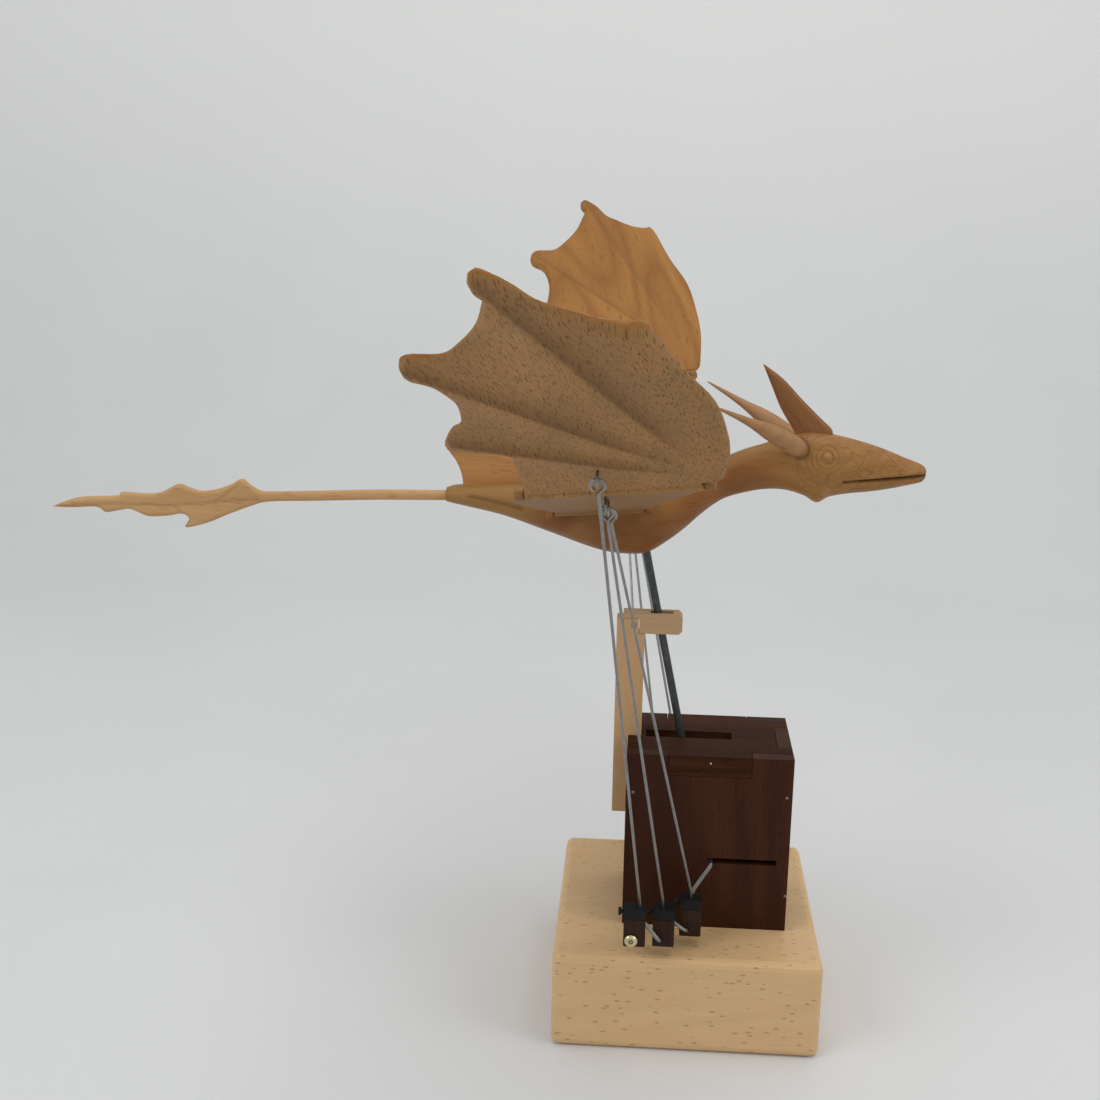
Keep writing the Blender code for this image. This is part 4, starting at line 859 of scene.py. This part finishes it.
# rings cut round the eye: distance, width, strength (depth and painted shade); and the lids raised between
# them: distance, height
EYE_RINGS = ((0.0038, 0.0007, 0.6), (0.0068, 0.0009, 0.45), (0.0098, 0.0010, 0.42))
EYE_LIDS = ((0.0053, 0.0006), (0.0083, 0.0005))
CHEEK_RINGS = ((0.0132, 0.0011, 0.42), (0.0170, 0.0012, 0.36))
LID_WIDTH = 0.0010
HORN_SEAT = (0.0985, 0.0378)
HORN_SEAT_RADIUS = 0.0060
CUT_DEPTH = 0.0008
MOUTH_DEPTH = 0.0024
MOUTH = ((0.1270, 0.0177), (0.1350, 0.0181), (0.1500, 0.0190), (0.1650, 0.0202), (0.1800, 0.0216))
JAW_CREASE = ((0.1166, 0.0225), (0.1160, 0.0165), (0.1195, 0.0140), (0.1240, 0.0150), (0.1270, 0.0177))
CHEEK = ((0.1030, 0.0420), (0.0975, 0.0330), (0.0985, 0.0230), (0.1040, 0.0140))
# a groove along the rear flank, sunk and darkened with painted shade
FLANK_SHADE_GROOVE = ((-0.1050, 0.0010), (-0.0930, -0.0008), (-0.0830, -0.0028), (-0.0720, -0.0050))


def section_at(x):
    """Underside, back and half width at a place along the body."""
    last = len(BODY) - 1
    at = max(i for i in range(last) if BODY[i][0] <= x or i == 0)
    a, b = BODY[at], BODY[at + 1]
    before, after = BODY[max(at - 1, 0)], BODY[min(at + 2, last)]
    span = b[0] - a[0]
    t = (x - a[0]) / span
    out = []
    for k in (1, 2, 3):
        start_slope = (b[k] - before[k]) / (b[0] - before[0]) * span
        stop_slope = (after[k] - a[k]) / (after[0] - a[0]) * span
        out.append(a[k] * (1 + 2 * t) * (1 - t) ** 2 + start_slope * t * (1 - t) ** 2
                   + b[k] * t ** 2 * (3 - 2 * t) + stop_slope * t ** 2 * (t - 1))
    return out


def face_carving(x, z, flat):
    """Height added on the side of the body at a place, and how much painted shade its cut gets."""
    if flat < 0.12:
        return 0.0, 0.0
    side = min(1.0, (flat - 0.12) / 0.25)
    turn = math.atan2(z - EYE[1], x - EYE[0])
    away = math.hypot(x - EYE[0], z - EYE[1])
    lift = EYE_BULGE * max(0.0, 1 - (away / EYEBALL) ** 2)
    uneven = away + 0.0003 * math.sin(turn + 0.6) + 0.00018 * math.sin(3 * turn)
    cut = sum(strength * bell(uneven - radius, width) for radius, width, strength in EYE_RINGS)
    lift += sum(height * bell(uneven - radius, LID_WIDTH) for radius, height in EYE_LIDS)
    behind = min(1.0, max(0.0, (EYE[0] + 0.006 - x) / 0.008))
    for radius, width, strength in CHEEK_RINGS:
        cut = max(cut, strength * behind * bell(uneven - radius, width))
    # painted shade in the gap round the horn's seat
    if x > HORN_SEAT[0] - 0.002:
        cut = max(cut, bell(math.hypot(x - HORN_SEAT[0], z - HORN_SEAT[1]) - HORN_SEAT_RADIUS, 0.0010))
    # painted shade in the jaw crease and the cheek line
    for line, width, strength in ((JAW_CREASE, 0.0010, 0.6), (CHEEK, 0.0012, 0.4), (FLANK_SHADE_GROOVE, 0.0017, 0.8)):
        cut = max(cut, strength * bell(path_distance(x, z, line), width))
    # the mouth opening is sunk and filled with painted shade
    opening = 0.0007 + 0.0006 * min(1.0, max(0.0, (x - 0.128) / 0.04))
    mouth = bell(path_distance(x, z, MOUTH), opening)
    lift += 0.0005 * bell(path_distance(x, z, MOUTH) - opening * 2.4, LID_WIDTH)
    return (lift - CUT_DEPTH * cut - MOUTH_DEPTH * mouth) * side, min(1.0, (0.75 * cut + mouth)) * side


def dragon_body():
    bm = bmesh.new()
    layer = bm.verts.layers.float.new("carved")
    around = 112
    head_start = 0.088
    trunk_step = 0.0019
    head_step = 0.00075
    places = [BODY[0][0] + trunk_step * i for i in range(int((head_start - BODY[0][0]) / trunk_step))]
    places += [head_start + head_step * i for i in range(int((BODY[-1][0] - head_start) / head_step) + 1)]
    rings = []
    for x in places:
        under, back, half = section_at(x)
        middle = (under + back) / 2
        tall = (back - under) / 2
        ring = []
        for i in range(around):
            turn = 2 * math.pi * i / around
            y = math.cos(turn)
            z = middle + tall * math.sin(turn)
            lift, cut = face_carving(x, z, abs(y))
            lean = Vector((y / half, math.sin(turn) / tall)).normalized()
            spot = bm.verts.new(dragon_point(1, x, half * y + lean.x * lift, z + lean.y * lift))
            spot[layer] = cut
            ring.append(spot)
        rings.append(ring)
    for a, b in zip(rings, rings[1:]):
        for i in range(around):
            j = (i + 1) % around
            bm.faces.new((a[i], a[j], b[j], b[i]))
    for ring, shift in ((rings[0], -0.0004), (rings[-1], 0.0006)):
        centre = sum((v.co for v in ring), Vector()) / around
        small = [bm.verts.new(centre + (v.co - centre) * 0.6 + Vector((shift, 0, 0))) for v in ring]
        for i in range(around):
            j = (i + 1) % around
            bm.faces.new((ring[i], ring[j], small[j], small[i]))
        bm.faces.new(small)
    reach = 0.0034
    lugs = ((ROOT_FRONT + LUG_GAP, ROOT_FRONT + LUG_GAP + LUG),
            (ROOT_REAR - LUG_GAP - LUG, ROOT_REAR - LUG_GAP))
    for side in (-1, 1):
        for low, high in lugs:
            middle = root_point(side, (low + high) / 2)
            inward = MID_Y + side * 0.003
            outward = middle.y + side * reach
            block(bm, (DRAGON_X + low, min(outward, inward), middle.z - reach),
                  (DRAGON_X + high, max(outward, inward), middle.z + reach), 0.0012)
    piece = link("dragon_carving", bm, oiled, "dragon", sharp=60)
    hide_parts("dragon_body")


# Tail, back board, crest and horns
TAIL_TOP = (
    (-0.1190, 0.0025), (-0.1640, 0.0016), (-0.2060, -0.0005), (-0.2350, -0.0018), (-0.2420, -0.0012),
    (-0.2480, 0.0022), (-0.2535, 0.0060), (-0.2610, 0.0020), (-0.2700, -0.0012), (-0.2800, -0.0027),
    (-0.2880, -0.0007), (-0.2955, 0.0013), (-0.3100, -0.0052), (-0.3320, -0.0050), (-0.3360, -0.0075),
    (-0.3620, -0.0095), (-0.3795, -0.0160),
)
TAIL_UNDER = (
    (-0.3795, -0.0160), (-0.3660, -0.0160), (-0.3500, -0.0152), (-0.3440, -0.0185), (-0.3360, -0.0172),
    (-0.3275, -0.0160), (-0.3160, -0.0203), (-0.3020, -0.0195), (-0.2940, -0.0180), (-0.2890, -0.0210),
    (-0.2915, -0.0270), (-0.2770, -0.0235), (-0.2620, -0.0170), (-0.2480, -0.0115), (-0.2360, -0.0082),
    (-0.2060, -0.0068), (-0.1640, -0.0048), (-0.1190, -0.0037),
)
BOARD_THICK = 0.005
BOARD_CUT_WIDTH = 0.0007
BOARD_CUT_DEPTH = 0.0007
TAIL_CUTS = (
    ((-0.2430, -0.0065), (-0.2700, -0.0095), (-0.3000, -0.0125), (-0.3450, -0.0130), (-0.3740, -0.0150)),
    ((-0.2550, 0.0035), (-0.2660, -0.0060), (-0.2720, -0.0095)),
    ((-0.2890, -0.0235), (-0.2950, -0.0150), (-0.3000, -0.0125)),
)
FIN = (
    (-0.0480, 0.0118), (-0.0640, 0.0200), (-0.0850, 0.0275), (-0.1050, 0.0302), (-0.1191, 0.0296),
    (-0.1150, 0.0222), (-0.1118, 0.0150), (-0.1105, 0.0085),
)
FIN_FOOT = ((-0.1105, 0.0036), (-0.0480, 0.0082))
CREST_EDGE = (
    (0.1200, 0.0455), (0.1189, 0.0490), (0.1125, 0.0548), (0.0999, 0.0668), (0.0875, 0.0793),
    (0.0748, 0.0883),
)
CREST_REAR = ((0.0748, 0.0883), (0.0812, 0.0740), (0.0874, 0.0604), (0.0960, 0.0470))
CREST_FOOT = ((0.0985, 0.0415), (0.1180, 0.0415))


def upright_place(x, z, lift):
    return dragon_point(1, x, lift, z)


def board(name, free, held, spacing, rounding, cuts, look, replaced):
    """A thin upright board on the dragon's middle plane, its edges rounded and lines cut in its faces."""
    plan, faces = sheet_plan(free, held, spacing)

    def cut(x, z):
        return max((bell(path_distance(x, z, line), BOARD_CUT_WIDTH) for line in cuts), default=0.0)

    def half(x, z):
        return BOARD_THICK / 2 - BOARD_CUT_DEPTH * cut(x, z)

    bm = bmesh.new()
    carved_sheet(bm, plan, faces, upright_place, half, half, rounding, cut)
    piece = link(name, bm, look, "dragon")
    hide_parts(replaced)


def boards():
    tail_top = through(TAIL_TOP, 5)
    tail_under = through(TAIL_UNDER, 5)
    tail = tail_top + tail_under[1:]
    crest = through(CREST_EDGE, 4) + through(CREST_REAR, 4)[1:]
    board("tail_blade", tail, [], 0.0014, 0.0022, TAIL_CUTS, tail_wood, "tail")
    board("back_board", through(FIN, 4), FIN_FOOT, 0.0018, 0.0016, (), fin_wood, "back_fin")
    board("head_crest", crest, CREST_FOOT, 0.0011, 0.0020, (), crest_wood, "crest")


HORN = (
    (0.0, 0.30), (0.015, 0.58), (0.04, 0.82), (0.08, 0.96), (0.14, 1.0),
    (0.22, 0.99), (0.32, 0.93), (0.42, 0.80), (0.50, 0.64), (0.58, 0.49),
    (0.66, 0.38), (0.76, 0.28), (0.86, 0.20), (0.94, 0.13), (1.0, 0.06),
)
HORN_RADIUS = 0.006
HORN_BOW = 0.0012


def horns():
    for side, word in ((-1, "near"), (1, "far")):
        base = dragon_point(side, 0.1010, 0.0130, 0.0370)
        way = dragon_point(side, 0.0434, 0.050, 0.0690) - base
        length = way.length
        aside = Vector((0, 0, 1)) - way.normalized() * way.normalized().z
        profile = [(t * length, r * HORN_RADIUS) for t, r in through(HORN, 4)]
        bm = bmesh.new()
        turned_solid(bm, base, way, profile, 32,
                     lambda d: aside.normalized() * HORN_BOW * math.sin(math.pi * d / length))
        piece = link(word + "_horn_form", bm, horn_wood, "dragon")
        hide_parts(word + "_horn")


# Nails, dowel and the plug in the near wall
FAR_FACE = MID_Y * 2 - NEAR_FACE
OUTWARD_NEAR = (0, -1, 0)
NAIL_PLACES = ((-0.0374, 0.1582), (0.0604, 0.1585), (0.0629, 0.0900))
NAIL_RADIUS = 0.0010
NAIL_SHANK = 0.003
NAIL_RIM = 0.00035
BRASS_PLACE = (0.0113, 0.1800)
BRASS_RADIUS = 0.0007
PLUG_PLACE = (0.0378, 0.0847)
DOWEL_PLACE = (-0.0402, 0.2603)
DOWEL_START = MID_Y - 0.003


def nail_head(name, spot, way, radius, look):
    bm = bmesh.new()
    profile = ((0, radius * 0.4), (NAIL_SHANK, radius * 0.4), (NAIL_SHANK, radius),
               (NAIL_SHANK + NAIL_RIM * 0.5, radius), (NAIL_SHANK + NAIL_RIM, radius * 0.88),
               (NAIL_SHANK + NAIL_RIM * 1.2, radius * 0.5), (NAIL_SHANK + NAIL_RIM * 1.25, radius * 0.1))
    turned_solid(bm, Vector(spot) - Vector(way) * NAIL_SHANK, way, profile)
    link(name, bm, look, "stand", sharp=35)


def dark_hole(name, spot, way, radius):
    """The mouth of a small drilled hole: a shallow cup in near black, painted shade for its inside, with a
    thin rim flush with the face.
    """
    bm = bmesh.new()
    depth = 0.0005
    lip = 0.00008
    profile = ((0, radius * 0.9), (depth, radius), (depth + lip, radius))
    turned_solid(bm, Vector(spot) - Vector(way) * depth, way, profile)
    link(name, bm, hollow, "stand", sharp=30)


def peg(name, spot, profile, sides, look):
    bm = bmesh.new()
    turned_solid(bm, spot, OUTWARD_NEAR, profile, sides)
    link(name, bm, look, "stand", sharp=30)


def fasteners():
    for number, (x, z) in enumerate(NAIL_PLACES, 1):
        nail_head(f"near_nail_{number}", (x, NEAR_FACE, z), OUTWARD_NEAR, NAIL_RADIUS, nail)
        nail_head(f"far_nail_{number}", (x, FAR_FACE, z), ALONG_Y, NAIL_RADIUS, nail)
    x, z = BRASS_PLACE
    nail_head("near_brass_nail", (x, NEAR_FACE, z), OUTWARD_NEAR, BRASS_RADIUS, brass)
    nail_head("far_brass_nail", (x, FAR_FACE, z), ALONG_Y, BRASS_RADIUS, brass)
    dark_hole("near_pilot_hole", (-0.0061, NEAR_FACE, 0.1582), OUTWARD_NEAR, 0.0007)
    x, z = PLUG_PLACE
    plug = ((0, 0.00298), (0.0079, 0.00298), (0.0080, 0.0029))
    peg("near_wall_plug", (x, NEAR_FACE + 0.008, z), plug, 40, walnut)
    dark_hole("near_plug_hole", (x, NEAR_FACE, z), OUTWARD_NEAR, 0.0012)
    x, z = DOWEL_PLACE
    dowel = ((0, 0.0021), (0.0030, 0.0021), (0.0031, 0.0020))
    peg("arm_dowel", (x, DOWEL_START, z), dowel, 28, dowel_wood)


outer_wings()
inner_wings()
dragon_body()
boards()
horns()
fasteners()


# Floor, backdrop and light
def stage():
    bm = bmesh.new()
    floor_near = -7.0
    sweep_start = 0.9
    sweep_radius = 0.9
    half_width = 7.0
    profile = [(floor_near, 0.0), (sweep_start, 0.0)]
    steps = 24
    for i in range(1, steps + 1):
        turn = QUARTER * i / steps
        profile.append((sweep_start + sweep_radius * math.sin(turn), sweep_radius * (1 - math.cos(turn))))
    profile.append((sweep_start + sweep_radius, 3.2))
    rows = [[bm.verts.new((x, y, z - 0.0002)) for x in (-half_width, half_width)] for y, z in profile]
    for a, b in zip(rows, rows[1:]):
        bm.faces.new((a[0], a[1], b[1], b[0]))
    mesh = bpy.data.meshes.new("sweep")
    bm.to_mesh(mesh)
    bm.free()
    mesh.shade_smooth()
    made, tree, shader = new_material("paper")
    vector = fibre_vector(tree)
    wear = noise(tree, vector, 3.0, 2.0)
    split = tree.nodes.new("ShaderNodeSeparateXYZ")
    tree.links.new(vector, split.inputs[0])
    floor = blend_colour(tree, ramp(tree, wear, 0.3, 0.7), (0.700, 0.700, 0.700), (0.720, 0.720, 0.720))
    # the paper turns lighter up the backdrop than on the floor: painted light on one sheet
    tint = blend_colour(tree, ramp(tree, split.outputs["Z"], 0.0, 1.1), floor, (0.93, 0.93, 0.905))
    tree.links.new(tint, shader.inputs["Base Color"])
    shader.inputs["Roughness"].default_value = 0.85
    mesh.materials.append(made)
    piece = bpy.data.objects.new("sweep", mesh)
    bpy.context.scene.collection.objects.link(piece)


def lamp(name, place, aim, size, power, colour=(1, 1, 1)):
    light = bpy.data.lights.new(name, "AREA")
    light.shape = "DISK"
    light.size = size
    light.energy = power
    light.color = colour
    holder = bpy.data.objects.new(name, light)
    bpy.context.scene.collection.objects.link(holder)
    holder.location = place
    holder.visible_camera = False
    holder.rotation_euler = (Vector(aim) - Vector(place)).to_track_quat("-Z", "Y").to_euler()


def lights():
    lamp("overhead", (0.1, 0.1, 1.9), (0, 0, 0.2), 1.6, 10, (1.0, 1.0, 0.99))
    lamp("left_soft", (-1.6, -1.2, 1.5), (0, 0, 0.3), 1.4, 12, (0.97, 0.99, 1.0))
    lamp("right_soft", (1.7, -0.7, 1.3), (0, 0, 0.3), 1.2, 9)
    world = bpy.data.worlds.new("room")
    world.use_nodes = True
    back = world.node_tree.nodes["Background"]
    back.inputs["Color"].default_value = (0.80, 0.82, 0.83, 1)
    back.inputs["Strength"].default_value = 0.62
    bpy.context.scene.world = world


camera()
stage()
lights()
bpy.context.scene.view_settings.view_transform = "Standard"
